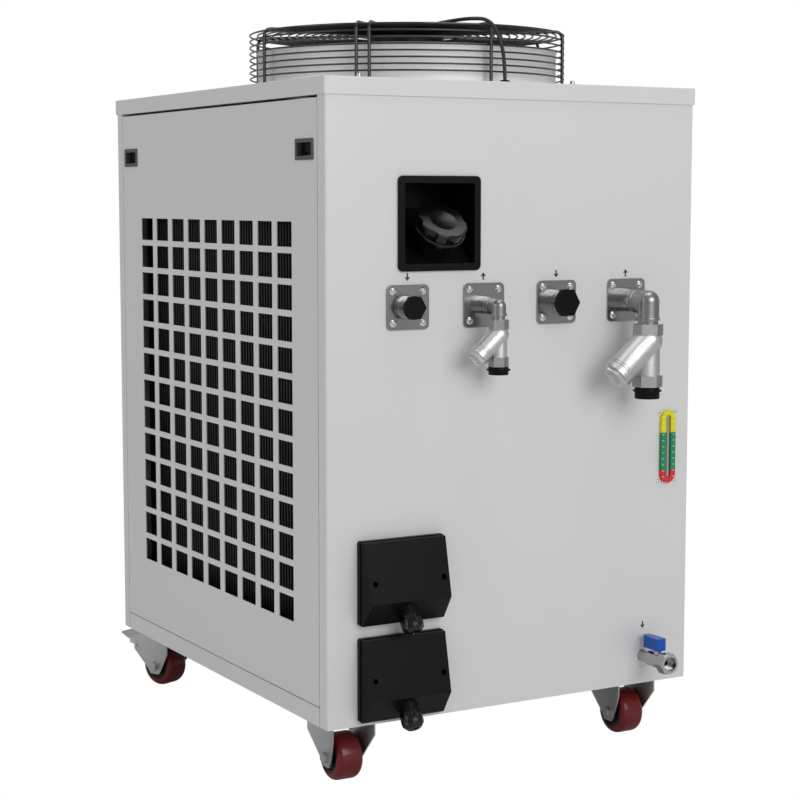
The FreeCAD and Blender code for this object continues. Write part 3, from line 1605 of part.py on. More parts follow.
def water_hoses():
    """Return, suction, pressure, supply, filler and drain hoses."""
    hoses = []
    ports = port_places()
    inner = front + stub_inside - hose_overlap
    grip = spigot_length - hose_overlap
    for port in (ports[0], ports[2]):
        end = V(port.x, from_front(hose_depth), from_floor(tank_top + grip))
        hoses.append(water_hose([V(port.x, inner, port.z), V(port.x, end.y, port.z), end]))
    pump = inside_point(pump_port_x(), pump_y, pump_axis_height)
    start = V(pump.x, from_front(tank_back + grip), pump.z)
    end = V(pump.x, pump.y - pump_head_radius - grip, pump.z)
    hoses.append(water_hose([start, end]))
    low, high, side = exchanger_ports()
    face = exchanger_y - exchanger_depth / 2
    start = pump + Z_AXIS * (pump_head_radius + grip)
    end = inside_point(exchanger_x - side, face - grip, low)
    hoses.append(water_hose([start, start + Z_AXIS * 80, start + V(26, 75, 80),
                             V(end.x, end.y - 60, start.z + 10), end - Y_AXIS * 60, end]))
    for port, x, run in ((ports[1], -side, 75), (ports[3], side, 64)):
        start = inside_point(exchanger_x + x, face - grip, high)
        end = V(port.x, inner, port.z)
        share = 0.35 if x < 0 else 1.0
        middle = V(start.x + (end.x - start.x) * share, start.y - run - 60, end.z - 60)
        hoses.append(water_hose([start, start - Y_AXIS * run, middle, end + Y_AXIS * 130, end]))
    aim = neck_aim()
    foot = neck_base() - aim * (neck_spigot_length - hose_overlap)
    tank = fill_hose_end()
    drop = (tank.y - foot.y) / (-aim.y)
    corner = foot - aim * drop
    hoses.append(hose([foot, corner, tank + Z_AXIS * grip],
                      neck_spigot_radius + hose_fit + hose_wall, hose_wall))
    start = drain_point(-drain_inside + hose_overlap)
    end = inside_point(drain_x, drain_hose_depth, tank_bottom - grip)
    hoses.append(hose([start, V(start.x, end.y, start.z), end],
                      drain_nipple_radius + hose_fit + hose_wall, hose_wall))
    return Part.makeCompound(hoses)


def electrical_box():
    x0 = (cabinet_width - ebox_width) / 2
    y1 = cabinet_depth - sheet
    box = inside_block(x0, x0 + ebox_width, y1 - ebox_depth, y1, ebox_bottom, ebox_bottom + ebox_height)
    return box.makeFillet(3, edges_along(box, Z_AXIS))


# Fasteners
def panel_screws():
    """The flange plates' screws, the gauge's screws and the grille panel's screw."""
    screws = []
    for port in port_places():
        for place in plate_screw_places(port):
            screws.append(dome_screw(place, -Y_AXIS, plate_screw_radius, plate_screw_head, screw_length))
    for place in gauge_screw_places():
        screws.append(dome_screw(place, -Y_AXIS, gauge_screw_radius, gauge_screw_head, screw_length * 0.8))
    screws.append(dome_screw(panel_screw_place(), -X_AXIS, gauge_screw_radius,
                             gauge_screw_head, screw_length * 0.8))
    for place in plain_panel_screw_places():
        screws.append(dome_screw(place, X_AXIS, gauge_screw_radius,
                                 gauge_screw_head, screw_length * 0.8))
    for bottom in box_bottoms:
        screws += [junction_screw(place) for place in junction_screw_places(bottom)]
    return Part.makeCompound(screws)


def cabinet_bolts():
    """Bolts through the fan's flange and bolts that hold the casters to the tray."""
    bolts = []
    for place in fan_bolt_places():
        bolt = hex_bolt(place, Z_AXIS, caster_bolt_radius, ring_wall + sheet + 4, fan_bolt_head)
        end = rod(place + Z_AXIS * fan_bolt_head, Z_AXIS, caster_bolt_radius, fan_bolt_end)
        bolts.append(bolt.fuse(end))
    grip = base_floor + caster_plate_thickness
    bolts += [hex_bolt(place, Z_AXIS, caster_bolt_radius, grip, bolt_head_height)
              for place in caster_bolt_places()]
    return Part.makeCompound(bolts)


def build_nodes():
    nodes = {
        "base_frame": base_frame(),
        "pipe_side_panel": pipe_side_panel(),
        "control_side_panel": control_side_panel(),
        "grille_panel": grille_panel(),
        "plain_side_panel": plain_side_panel(),
        "lid": lid(),
        "fan_ring": fan_ring(),
        "fan_guard": fan_guard(),
        "fan_motor": fan_motor(),
        "fan_impeller": fan_impeller(),
        "fan_cable": fan_cable(),
        "cable_grommet": cable_grommet(),
        "condenser_coil": condenser_coil(),
        "compressor": compressor(),
        "refrigerant_lines": refrigerant_lines(),
        "plate_heat_exchanger": plate_heat_exchanger(),
        "water_tank": water_tank(),
        "water_pump": water_pump(),
        "water_hoses": water_hoses(),
        "electrical_box": electrical_box(),
        "filler_tray": filler_tray(),
        "filler_neck": filler_neck(),
        "filler_cap": filler_cap(),
        "level_gauge": level_gauge(),
        "gauge_tube": gauge_tube(),
        "drain_valve_body": drain_valve_body(),
        "drain_lever": Part.makeCompound([drain_stem(), drain_lever()]),
        "panel_screws": panel_screws(),
        "cabinet_bolts": cabinet_bolts(),
    }
    ports = port_places()
    for port, (name, end) in zip(ports, stub_ends.items()):
        nodes[name + "_flange"] = flange(port, end)
        if name in inlet_plugs:
            nodes[name + "_plug"] = inlet_plug(port, end, inlet_plugs[name])
    for name, port in (("high", ports[1]), ("low", ports[3])):
        size = outlet_sizes[name]
        nodes["outlet_%s_elbow" % name] = outlet_elbow(port, size, stub_ends["outlet_" + name])
        nodes["strainer_%s_body" % name] = strainer_body(port, size)
        nodes["strainer_%s_cap" % name] = strainer_cap(port, size)
        nodes["outlet_%s_plug" % name] = outlet_plug(port, size)
    bases = []
    glands = []
    for name, bottom in zip(("upper", "lower"), box_bottoms):
        nodes["junction_cover_%s" % name] = junction_cover(bottom)
        bases.append(junction_base(bottom))
        glands.append(cable_gland(bottom))
    nodes["junction_bases"] = Part.makeCompound(bases)
    nodes["cable_glands"] = Part.makeCompound(glands)
    centres = latch_centres()
    nodes["latch_frames"] = Part.makeCompound([latch_frame(centre) for centre in centres])
    nodes["latch_paddle_front"] = latch_paddle(centres[0])
    nodes["latch_paddle_back"] = latch_paddle(centres[1])
    add_casters(nodes)
    return nodes


def add_casters(nodes):
    plates = []
    forks = []
    for name, centre in caster_centres().items():
        if name.startswith("front"):
            forks.append(at_caster(rigid_fork(), centre, 0))
            nodes["wheel_" + name] = at_caster(caster_wheel(), centre, 0)
            continue
        turn = swivel_turn(name)
        plates.append(at_caster(swivel_plate(), centre, 0))
        nodes["swivel_fork_" + name] = at_caster(swivel_fork(), centre, turn)
        wheel = caster_wheel()
        wheel.translate(V(0, swivel_trail, 0))
        nodes["wheel_" + name] = at_caster(wheel, centre, turn)
        nodes["brake_pedal_" + name] = at_caster(brake_pedal(), centre, turn)
    nodes["rigid_casters"] = Part.makeCompound(forks)
    nodes["swivel_plates"] = Part.makeCompound(plates)


def whole_box(nodes):
    box = FreeCAD.BoundBox()
    for shape in nodes.values():
        box.add(shape.optimalBoundingBox(False))
    return box


nodes = build_nodes()
box = whole_box(nodes)
to_origin = V(-(box.XMin + box.XMax) / 2, -(box.YMin + box.YMax) / 2, 0)
for name, shape in nodes.items():
    placed = shape.copy()
    placed.translate(to_origin)
    placed.exportStep("parts/%s.step" % name)
    print(name, "solids", len(placed.Solids), "valid", placed.isValid())
print("nodes", len(nodes), "moved by", to_origin, "size", box.XLength, box.YLength, box.ZMax, box.ZMin)
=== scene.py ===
"""Looks of the laser chiller: enamel, castings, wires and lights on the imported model."""
import bpy
import bmesh
import json
import math
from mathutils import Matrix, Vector


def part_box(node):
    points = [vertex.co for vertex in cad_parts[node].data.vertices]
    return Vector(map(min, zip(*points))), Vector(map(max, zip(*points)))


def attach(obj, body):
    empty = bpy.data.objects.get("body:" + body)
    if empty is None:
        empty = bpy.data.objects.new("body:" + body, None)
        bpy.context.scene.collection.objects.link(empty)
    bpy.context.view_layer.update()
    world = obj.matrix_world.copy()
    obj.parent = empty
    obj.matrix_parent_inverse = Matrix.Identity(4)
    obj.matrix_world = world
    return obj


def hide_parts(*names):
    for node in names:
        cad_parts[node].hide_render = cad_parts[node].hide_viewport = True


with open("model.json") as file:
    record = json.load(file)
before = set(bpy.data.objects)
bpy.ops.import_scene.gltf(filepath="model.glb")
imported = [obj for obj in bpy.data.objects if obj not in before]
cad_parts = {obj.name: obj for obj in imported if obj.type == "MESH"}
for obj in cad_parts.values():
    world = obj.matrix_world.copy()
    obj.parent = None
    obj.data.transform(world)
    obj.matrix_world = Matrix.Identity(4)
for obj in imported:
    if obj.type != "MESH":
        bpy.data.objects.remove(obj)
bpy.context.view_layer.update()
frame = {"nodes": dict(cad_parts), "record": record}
nodes = frame["nodes"]
body_of_node = {node: body for body, members in frame["record"]["behaviour"]["bodies"].items()
                for node in members}

# Places on the cabinet, in metres
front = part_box("pipe_side_panel")[0][1]
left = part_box("pipe_side_panel")[0][0]
floor_z = 0.106
lid_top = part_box("lid")[1][2]
ring_low, ring_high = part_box("fan_ring")
fan = Vector((0, (ring_low[1] + ring_high[1]) / 2, lid_top))
rail_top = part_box("grille_panel")[0][2]
guard_top = lid_top + 0.100
guard_radius = 0.266
wire_radius = 0.0015
stay_size = 0.006
stay_radius = 0.0028
gauge_x = 0.633

# Each strainer, from the pipe side's left edge and the cabinet's underside: its axis, its
# slanted branch and the spans of its two hexagons
strainers = {
    "high": {"x": 0.2742, "reach": 0.045, "branch_z": 0.5945, "branch_length": 0.047,
             "branch_radius": 0.0155, "corner": 0.0160,
             "hexagons": [(0.6025, 0.6175), (0.5455, 0.5605)]},
    "low": {"x": 0.5452, "reach": 0.062, "branch_z": 0.5765, "branch_length": 0.079,
            "branch_radius": 0.0235, "corner": 0.0245,
            "hexagons": [(0.5850, 0.6030), (0.5030, 0.5210)]},
}
branch_slope = math.radians(41)


def pipe_face(x, z, depth=0.0):
    """A point on the pipe side: x from its left edge, z from the cabinet's underside."""
    return Vector((left + x, front - depth, floor_z + z))


# Camera
camera_data = bpy.data.cameras.new("camera")
camera_data.sensor_width = 36
camera_data.lens = 85.2
camera_data.clip_end = 50
camera = bpy.data.objects.new("camera", camera_data)
camera_down = math.radians(6.05)
camera_aside = math.radians(29.63)
camera.location = (left - 1.2865, front - 2.4836, floor_z + 0.8004)
camera.rotation_euler = (math.pi / 2 - camera_down, 0, -camera_aside)
bpy.context.scene.collection.objects.link(camera)
bpy.context.scene.camera = camera


# Shader groups
def new_group(name, inputs, outputs):
    group = bpy.data.node_groups.new(name, "ShaderNodeTree")
    for label, value in inputs:
        socket = group.interface.new_socket(label, in_out="INPUT", socket_type="NodeSocketFloat")
        socket.default_value = value
    for label in outputs:
        group.interface.new_socket(label, in_out="OUTPUT", socket_type="NodeSocketFloat")
    return group, group.nodes.new("NodeGroupInput"), group.nodes.new("NodeGroupOutput")


def place_of(group):
    return group.nodes.new("ShaderNodeTexCoord").outputs["Object"]


def sum_of(group, operation, first, second):
    node = group.nodes.new("ShaderNodeMath")
    node.operation = operation
    for socket, value in zip(node.inputs, (first, second)):
        if isinstance(value, (int, float)):
            socket.default_value = value
        else:
            group.links.new(value, socket)
    return node.outputs[0]


def smooth_step(group, value, low, high):
    node = group.nodes.new("ShaderNodeMapRange")
    node.interpolation_type = "SMOOTHSTEP"
    node.inputs["From Min"].default_value = low
    node.inputs["From Max"].default_value = high
    group.links.new(value, node.inputs["Value"])
    return node.outputs["Result"]


def grain_group():
    """Fine texture and slow shade changes, by the size of the grain in 1/m."""
    group, given, made = new_group("grain", [("Scale", 400.0)], ["Shade", "Height"])
    fine = group.nodes.new("ShaderNodeTexNoise")
    fine.inputs["Detail"].default_value = 3
    broad = group.nodes.new("ShaderNodeTexNoise")
    broad.inputs["Scale"].default_value = 7
    broad.inputs["Detail"].default_value = 4
    group.links.new(place_of(group), fine.inputs["Vector"])
    group.links.new(place_of(group), broad.inputs["Vector"])
    group.links.new(given.outputs["Scale"], fine.inputs["Scale"])
    group.links.new(fine.outputs["Fac"], made.inputs["Height"])
    group.links.new(broad.outputs["Fac"], made.inputs["Shade"])
    return group


def rubbed_edge_and_painted_highlight_group():
    """One along rubbed edges, broken up by noise, and nought elsewhere: wear that also serves as a
    painted edge highlight.
    """
    group, given, made = new_group("rubbed_edge_and_painted_highlight", [("Width", 0.0012)], ["Mask"])
    rounded = group.nodes.new("ShaderNodeBevel")
    rounded.samples = 4
    group.links.new(given.outputs["Width"], rounded.inputs["Radius"])
    flat = group.nodes.new("ShaderNodeNewGeometry")
    compare = group.nodes.new("ShaderNodeVectorMath")
    compare.operation = "DOT_PRODUCT"
    group.links.new(rounded.outputs[0], compare.inputs[0])
    group.links.new(flat.outputs["Normal"], compare.inputs[1])
    turned = sum_of(group, "SUBTRACT", 1.0, compare.outputs["Value"])
    rubs = group.nodes.new("ShaderNodeTexNoise")
    rubs.inputs["Scale"].default_value = 60
    rubs.inputs["Detail"].default_value = 6
    group.links.new(place_of(group), rubs.inputs["Vector"])
    edge = smooth_step(group, turned, 0.02, 0.22)
    broken = smooth_step(group, rubs.outputs["Fac"], 0.42, 0.62)
    group.links.new(sum_of(group, "MULTIPLY", edge, broken), made.inputs["Mask"])
    return group


def dust_group():
    """A thin film on faces that look up, thicker in patches."""
    group, given, made = new_group("settled_dust", [("Patch", 18.0)], ["Mask"])
    facing = group.nodes.new("ShaderNodeNewGeometry")
    parts = group.nodes.new("ShaderNodeSeparateXYZ")
    group.links.new(facing.outputs["Normal"], parts.inputs[0])
    upward = smooth_step(group, parts.outputs["Z"], 0.3, 1.0)
    patches = group.nodes.new("ShaderNodeTexNoise")
    patches.inputs["Detail"].default_value = 5
    group.links.new(given.outputs["Patch"], patches.inputs["Scale"])
    group.links.new(place_of(group), patches.inputs["Vector"])
    patchy = smooth_step(group, patches.outputs["Fac"], 0.35, 0.7)
    group.links.new(sum_of(group, "MULTIPLY", upward, patchy), made.inputs["Mask"])
    return group


grain = grain_group()
rubbed_edge_and_painted_highlight = rubbed_edge_and_painted_highlight_group()
settled_dust = dust_group()


# Materials
def srgb(red, green, blue):
    """The colour a camera shows as these 0 to 255 values."""
    linear = [value / 255 / 12.92 if value <= 10 else ((value / 255 + 0.055) / 1.055) ** 2.4
              for value in (red, green, blue)]
    return linear + [1.0]


def group_node(tree, group, **values):
    node = tree.nodes.new("ShaderNodeGroup")
    node.node_tree = group
    for label, value in values.items():
        node.inputs[label].default_value = value
    return node


def mixed(tree, factor, first, second):
    node = tree.nodes.new("ShaderNodeMix")
    node.data_type = "RGBA"
    wanted = ((node.inputs["Factor"], factor), (node.inputs[6], first), (node.inputs[7], second))
    for socket, value in wanted:
        if isinstance(value, bpy.types.NodeSocket):
            tree.links.new(value, socket)
        else:
            socket.default_value = value
    return node.outputs[2]


def new_material(name):
    material = bpy.data.materials.new(name)
    material.use_nodes = True
    tree = material.node_tree
    shader = tree.nodes["Principled BSDF"]
    return material, tree, shader


def finish(name, colour, roughness, metallic=0.0, scale=500.0, bump=0.03, shade=0.06,
           rubbed_and_highlight_colour=None, rub_and_painted_highlight=0.0, dust=0.0, coat=0.0, gloss=0.5, printed=None):
    """A finish with its own grain, slow shading, rubbed edges lightened as wear and as a painted
    highlight, and a little dust.
    """
    material, tree, shader = new_material(name)
    texture = group_node(tree, grain, Scale=scale)
    darker = [value * (1 - shade) for value in colour[:3]] + [1.0]
    lighter = [min(1.0, value * (1 + shade)) for value in colour[:3]] + [1.0]
    surface = mixed(tree, texture.outputs["Shade"], darker, lighter)
    if printed:
        surface = printed(tree, surface)
    # Edges lighten towards the given colour: rubbed wear and a painted edge highlight
    if rub_and_painted_highlight:
        edges = group_node(tree, rubbed_edge_and_painted_highlight, Width=0.0012)
        amount = sum_of(tree, "MULTIPLY", edges.outputs["Mask"], rub_and_painted_highlight)
        surface = mixed(tree, amount, surface, rubbed_and_highlight_colour)
    if dust:
        film = group_node(tree, settled_dust, Patch=18.0)
        amount = sum_of(tree, "MULTIPLY", film.outputs["Mask"], dust)
        surface = mixed(tree, amount, surface, srgb(150, 146, 138))
    tree.links.new(surface, shader.inputs["Base Color"])
    uneven = tree.nodes.new("ShaderNodeMapRange")
    uneven.inputs["To Min"].default_value = max(0.03, roughness - 0.06)
    uneven.inputs["To Max"].default_value = roughness + 0.06
    tree.links.new(texture.outputs["Shade"], uneven.inputs["Value"])
    tree.links.new(uneven.outputs["Result"], shader.inputs["Roughness"])
    shader.inputs["Metallic"].default_value = metallic
    shader.inputs["Specular IOR Level"].default_value = gloss
    shader.inputs["Coat Weight"].default_value = coat
    shader.inputs["Coat Roughness"].default_value = 0.12
    relief = tree.nodes.new("ShaderNodeBump")
    relief.inputs["Strength"].default_value = bump
    relief.inputs["Distance"].default_value = 0.0004
    tree.links.new(texture.outputs["Height"], relief.inputs["Height"])
    tree.links.new(relief.outputs["Normal"], shader.inputs["Normal"])
    return material


def inside_span(tree, value, low, high):
    above = sum_of(tree, "GREATER_THAN", value, low)
    return sum_of(tree, "MULTIPLY", above, sum_of(tree, "LESS_THAN", value, high))


# Each arrow on the pipe side: its place, and whether it points up
arrow_height = 0.683
drain_arrow_height = 0.098
flow_mark_places = [(0.1387, arrow_height, False), (0.2741, arrow_height, True),
                    (0.4100, arrow_height, False), (0.5451, arrow_height, True),
                    (0.5890, drain_arrow_height, False)]
arrow_tip = 0.0055
arrow_foot = -0.0065
arrow_flare = 0.85
arrow_stem = 0.0014


def flow_marks(tree, surface):
    """Small printed arrows over the ports: down for an inlet, up for an outlet."""
    parts = tree.nodes.new("ShaderNodeSeparateXYZ")
    tree.links.new(place_of(tree), parts.inputs[0])
    facing = tree.nodes.new("ShaderNodeNewGeometry")
    turned = tree.nodes.new("ShaderNodeSeparateXYZ")
    tree.links.new(facing.outputs["Normal"], turned.inputs[0])
    outside = sum_of(tree, "LESS_THAN", turned.outputs["Y"], -0.5)
    total = None
    for x, z, points_up in flow_mark_places:
        middle = pipe_face(x, z)
        across = sum_of(tree, "ABSOLUTE", sum_of(tree, "SUBTRACT", parts.outputs["X"], middle.x), 0)
        along = sum_of(tree, "SUBTRACT", parts.outputs["Z"], middle.z)
        if not points_up:
            along = sum_of(tree, "MULTIPLY", along, -1.0)
        taper = sum_of(tree, "SUBTRACT", arrow_tip, along)
        head = sum_of(tree, "LESS_THAN", across, sum_of(tree, "MULTIPLY", taper, arrow_flare))
        head = sum_of(tree, "MULTIPLY", head, inside_span(tree, along, -0.0005, arrow_tip))
        tail = sum_of(tree, "LESS_THAN", across, arrow_stem)
        tail = sum_of(tree, "MULTIPLY", tail, inside_span(tree, along, arrow_foot, 0.0))
        mark = sum_of(tree, "MAXIMUM", head, tail)
        total = mark if total is None else sum_of(tree, "MAXIMUM", total, mark)
    amount = sum_of(tree, "MULTIPLY", total, outside)
    return mixed(tree, amount, surface, srgb(46, 46, 48))


def hexagon_bands(tree, surface):
    """The machined hexagons of both strainers are duller than their castings."""
    parts = tree.nodes.new("ShaderNodeSeparateXYZ")
    tree.links.new(place_of(tree), parts.inputs[0])
    dull = 0.0
    for strainer in strainers.values():
        axis = left + strainer["x"]
        reach = strainer["corner"]
        band = inside_span(tree, parts.outputs["X"], axis - reach, axis + reach)
        for low, high in strainer["hexagons"]:
            tall = inside_span(tree, parts.outputs["Z"], floor_z + low, floor_z + high)
            dull = sum_of(tree, "ADD", sum_of(tree, "MULTIPLY", band, tall), dull)
    return mixed(tree, dull, surface, srgb(164, 164, 164))


def painted_rail_shadow(tree, surface):
    """A painted shadow line where a side panel stands on the base rail."""
    parts = tree.nodes.new("ShaderNodeSeparateXYZ")
    tree.links.new(place_of(tree), parts.inputs[0])
    seam = inside_span(tree, parts.outputs["Z"], rail_top - 0.0006, rail_top + 0.0012)
    return mixed(tree, seam, surface, srgb(104, 104, 104))


# Where the gauge's red turns to green and its green to yellow, over the cabinet's underside
green_from = 0.355
yellow_from = 0.418


def gauge_bands(tree, surface):
    """Yellow over green over red, by height on the strip, with a line each centimetre."""
    parts = tree.nodes.new("ShaderNodeSeparateXYZ")
    tree.links.new(place_of(tree), parts.inputs[0])
    green = sum_of(tree, "GREATER_THAN", parts.outputs["Z"], floor_z + green_from)
    yellow = sum_of(tree, "GREATER_THAN", parts.outputs["Z"], floor_z + yellow_from)
    lower = mixed(tree, green, srgb(206, 36, 40), srgb(24, 128, 84))
    bands = mixed(tree, yellow, lower, srgb(214, 206, 20))
    tick = sum_of(tree, "FRACT", sum_of(tree, "MULTIPLY", parts.outputs["Z"], 100.0), 0)
    line = sum_of(tree, "LESS_THAN", tick, 0.09)
    side = sum_of(tree, "ABSOLUTE", sum_of(tree, "SUBTRACT", parts.outputs["X"], left + gauge_x), 0)
    line = sum_of(tree, "MULTIPLY", line, inside_span(tree, side, 0.0085, 0.0125))
    return mixed(tree, sum_of(tree, "MULTIPLY", line, 0.7), bands, srgb(250, 250, 244))


# Near white, for rubbed edges and the painted edge highlight on most finishes
bright = srgb(238, 239, 240)
looks = {
    "enamel": finish("white_enamel", srgb(208, 208, 208), 0.38, scale=900, bump=0.10, shade=0.02,
                     rubbed_and_highlight_colour=bright, rub_and_painted_highlight=0.35, dust=0.05, coat=0.15),
    "pipe_side": finish("white_enamel_with_arrows", srgb(208, 208, 208), 0.38, scale=900, bump=0.10,
                        shade=0.02, rubbed_and_highlight_colour=bright, rub_and_painted_highlight=0.35, coat=0.15, printed=flow_marks),
    # Side panels, grille and base frame: enamel with a painted shadow along the rail seam
    "side": finish("side_enamel_with_seam_shadow", srgb(208, 208, 208), 0.38, scale=900, bump=0.10, shade=0.02,
                   rubbed_and_highlight_colour=bright, rub_and_painted_highlight=0.35, dust=0.05, coat=0.15, printed=painted_rail_shadow),
    "zinc": finish("zinc_plating", srgb(186, 188, 190), 0.30, 1.0, scale=700, bump=0.10, shade=0.10,
                   rubbed_and_highlight_colour=bright, rub_and_painted_highlight=0.3, dust=0.1),
    "fan_ring": finish("fan_ring_grey", srgb(226, 226, 227), 0.42, 0.1, scale=600, bump=0.08,
                       shade=0.04, rubbed_and_highlight_colour=bright, rub_and_painted_highlight=0.3, dust=0.15),
    "guard": finish("guard_black", srgb(13, 13, 14), 0.26, scale=900, bump=0.04, shade=0.15,
                    rubbed_and_highlight_colour=srgb(84, 84, 86), rub_and_painted_highlight=0.3, coat=0.4),
    "motor": finish("motor_black", srgb(22, 22, 23), 0.45, scale=600, bump=0.15, shade=0.15,
                    rubbed_and_highlight_colour=srgb(90, 90, 92), rub_and_painted_highlight=0.4, dust=0.25),
    "blades": finish("blade_black", srgb(26, 26, 27), 0.42, scale=500, bump=0.10, shade=0.15,
                     rubbed_and_highlight_colour=srgb(96, 96, 98), rub_and_painted_highlight=0.4, dust=0.3),
    "cable": finish("cable_sheath", srgb(20, 20, 21), 0.40, scale=1600, bump=0.12, shade=0.12,
                    rubbed_and_highlight_colour=srgb(70, 70, 72), rub_and_painted_highlight=0.2, dust=0.15),
    "plastic": finish("black_plastic", srgb(13, 13, 14), 0.36, scale=1500, bump=0.12, shade=0.10,
                      rubbed_and_highlight_colour=srgb(44, 44, 46), rub_and_painted_highlight=0.35, dust=0.02, gloss=0.11),
    "glossy_plastic": finish("glossy_black_plastic", srgb(10, 10, 11), 0.20, scale=1200, bump=0.05,
                             shade=0.10, rubbed_and_highlight_colour=srgb(60, 60, 62), rub_and_painted_highlight=0.3, gloss=0.40),
    "latch": finish("latch_grey", srgb(72, 74, 76), 0.45, scale=900, bump=0.10, shade=0.08,
                    rubbed_and_highlight_colour=srgb(180, 182, 184), rub_and_painted_highlight=0.5),
    "cast": finish("cast_stainless", srgb(206, 206, 206), 0.34, 1.0, scale=700, bump=0.9, shade=0.14,
                   rubbed_and_highlight_colour=bright, rub_and_painted_highlight=0.4, dust=0.03),
    "satin": finish("satin_stainless", srgb(150, 150, 150), 0.30, 1.0, scale=900, bump=0.3, shade=0.12,
                    rubbed_and_highlight_colour=bright, rub_and_painted_highlight=0.4),
    "body": finish("strainer_stainless", srgb(204, 204, 204), 0.40, 1.0, scale=480, bump=1.0,
                   shade=0.14, rubbed_and_highlight_colour=bright, rub_and_painted_highlight=0.5, printed=hexagon_bands),
    "plate": finish("flange_steel", srgb(166, 166, 166), 0.19, 1.0, scale=1100, bump=0.06, shade=0.06,
                    rubbed_and_highlight_colour=srgb(190, 190, 190), rub_and_painted_highlight=0.3),
    "screw": finish("screw_zinc", srgb(226, 226, 226), 0.18, 1.0, scale=700, bump=0.05, shade=0.06,
                    rubbed_and_highlight_colour=bright, rub_and_painted_highlight=0.3),
    "stainless": finish("brushed_stainless", srgb(190, 190, 190), 0.30, 1.0, scale=800, bump=0.10,
                        shade=0.08, rubbed_and_highlight_colour=bright, rub_and_painted_highlight=0.3, dust=0.06),
    "brass": finish("nickel_brass", srgb(184, 184, 184), 0.22, 1.0, scale=700, bump=0.12, shade=0.10,
                    rubbed_and_highlight_colour=bright, rub_and_painted_highlight=0.3),
    "lever": finish("lever_blue", srgb(14, 78, 176), 0.30, scale=900, bump=0.06, shade=0.08,
                    rubbed_and_highlight_colour=srgb(90, 134, 204), rub_and_painted_highlight=0.3, coat=0.1, gloss=0.25),
    "strip": finish("gauge_strip", srgb(200, 200, 200), 0.36, scale=900, bump=0.03, shade=0.02,
                    printed=gauge_bands),
    "tube": finish("gauge_glass", srgb(150, 152, 150), 0.16, scale=300, bump=0.02, shade=0.10, coat=0.5),
    "caster": finish("caster_zinc", srgb(186, 186, 186), 0.42, 1.0, scale=520, bump=0.14, shade=0.12,
                     rubbed_and_highlight_colour=bright, rub_and_painted_highlight=0.4, dust=0.15),
    "pedal": finish("pedal_steel", srgb(205, 205, 205), 0.24, 1.0, scale=520, bump=0.10, shade=0.10,
                    rubbed_and_highlight_colour=bright, rub_and_painted_highlight=0.4, dust=0.10),
    "tread": finish("wheel_red", srgb(102, 8, 12), 0.32, scale=700, bump=0.06, shade=0.14,
                    rubbed_and_highlight_colour=srgb(150, 50, 52), rub_and_painted_highlight=0.15, dust=0.05, coat=0.25, gloss=0.35),
    "hub": finish("hub_black", srgb(16, 16, 17), 0.40, scale=900, bump=0.10, shade=0.10,
                  rubbed_and_highlight_colour=srgb(60, 60, 62), rub_and_painted_highlight=0.3, dust=0.05, gloss=0.3),
    "steel": finish("painted_steel", srgb(150, 152, 153), 0.45, 0.3, scale=500, bump=0.10, shade=0.08,
                    rubbed_and_highlight_colour=bright, rub_and_painted_highlight=0.3, dust=0.2),
    "copper": finish("copper_pipe", srgb(184, 115, 78), 0.30, 1.0, scale=400, bump=0.08, shade=0.18,
                     rubbed_and_highlight_colour=srgb(220, 150, 110), rub_and_painted_highlight=0.2, dust=0.15),
    "rubber": finish("hose_rubber", srgb(34, 34, 35), 0.62, scale=700, bump=0.18, shade=0.12,
                     rubbed_and_highlight_colour=srgb(70, 70, 70), rub_and_painted_highlight=0.2, dust=0.25),
    "compressor": finish("compressor_black", srgb(18, 18, 19), 0.36, scale=500, bump=0.10, shade=0.15,
                         rubbed_and_highlight_colour=srgb(80, 80, 82), rub_and_painted_highlight=0.3, dust=0.3, coat=0.2),
}

fin_pitch = 0.0042


def coil_fins():
    """Black coil with close upright fins, drawn as a wave along the coil, with painted shade between the
    fins and a painted highlight on their edges.
    """
    material, tree, shader = new_material("coil_fins")
    texture = group_node(tree, grain, Scale=300.0)
    parts = tree.nodes.new("ShaderNodeSeparateXYZ")
    tree.links.new(place_of(tree), parts.inputs[0])
    turns = sum_of(tree, "MULTIPLY", parts.outputs["Y"], 2 * math.pi / fin_pitch)
    wave = sum_of(tree, "SINE", turns, 0)
    ridge = smooth_step(tree, wave, -0.2, 0.9)
    # Painted shade in the gaps between fins, and lighter fin edges as a painted highlight
    dim = mixed(tree, texture.outputs["Shade"], srgb(6, 6, 6), srgb(18, 18, 19))
    tree.links.new(mixed(tree, ridge, dim, srgb(26, 26, 27)), shader.inputs["Base Color"])
    shader.inputs["Roughness"].default_value = 0.5
    relief = tree.nodes.new("ShaderNodeBump")
    relief.inputs["Strength"].default_value = 0.5
    relief.inputs["Distance"].default_value = 0.001
    tree.links.new(ridge, relief.inputs["Height"])
    tree.links.new(relief.outputs["Normal"], shader.inputs["Normal"])
    return material


looks["coil"] = coil_fins()


def give(piece, look):
    piece.data.materials.clear()
    piece.data.materials.append(looks[look])
    return piece


# Mesh helpers
def linked(name, data):
    piece = bpy.data.objects.new(name, data)
    bpy.context.scene.collection.objects.link(piece)
    return piece


def from_bmesh(name, mesh_in_hand):
    data = bpy.data.meshes.new(name)
    mesh_in_hand.to_mesh(data)
    mesh_in_hand.free()
    return linked(name, data)


def smooth_by_angle(piece, degrees):
    """Smooth faces, split where two meet more sharply than this."""
    data = piece.data
    data.polygons.foreach_set("use_smooth", [True] * len(data.polygons))
    work = bmesh.new()
    work.from_mesh(data)
    for edge in work.edges:
        sharp = len(edge.link_faces) != 2 or edge.calc_face_angle(0) > math.radians(degrees)
        edge.smooth = not sharp
    work.to_mesh(data)
    work.free()
    return piece


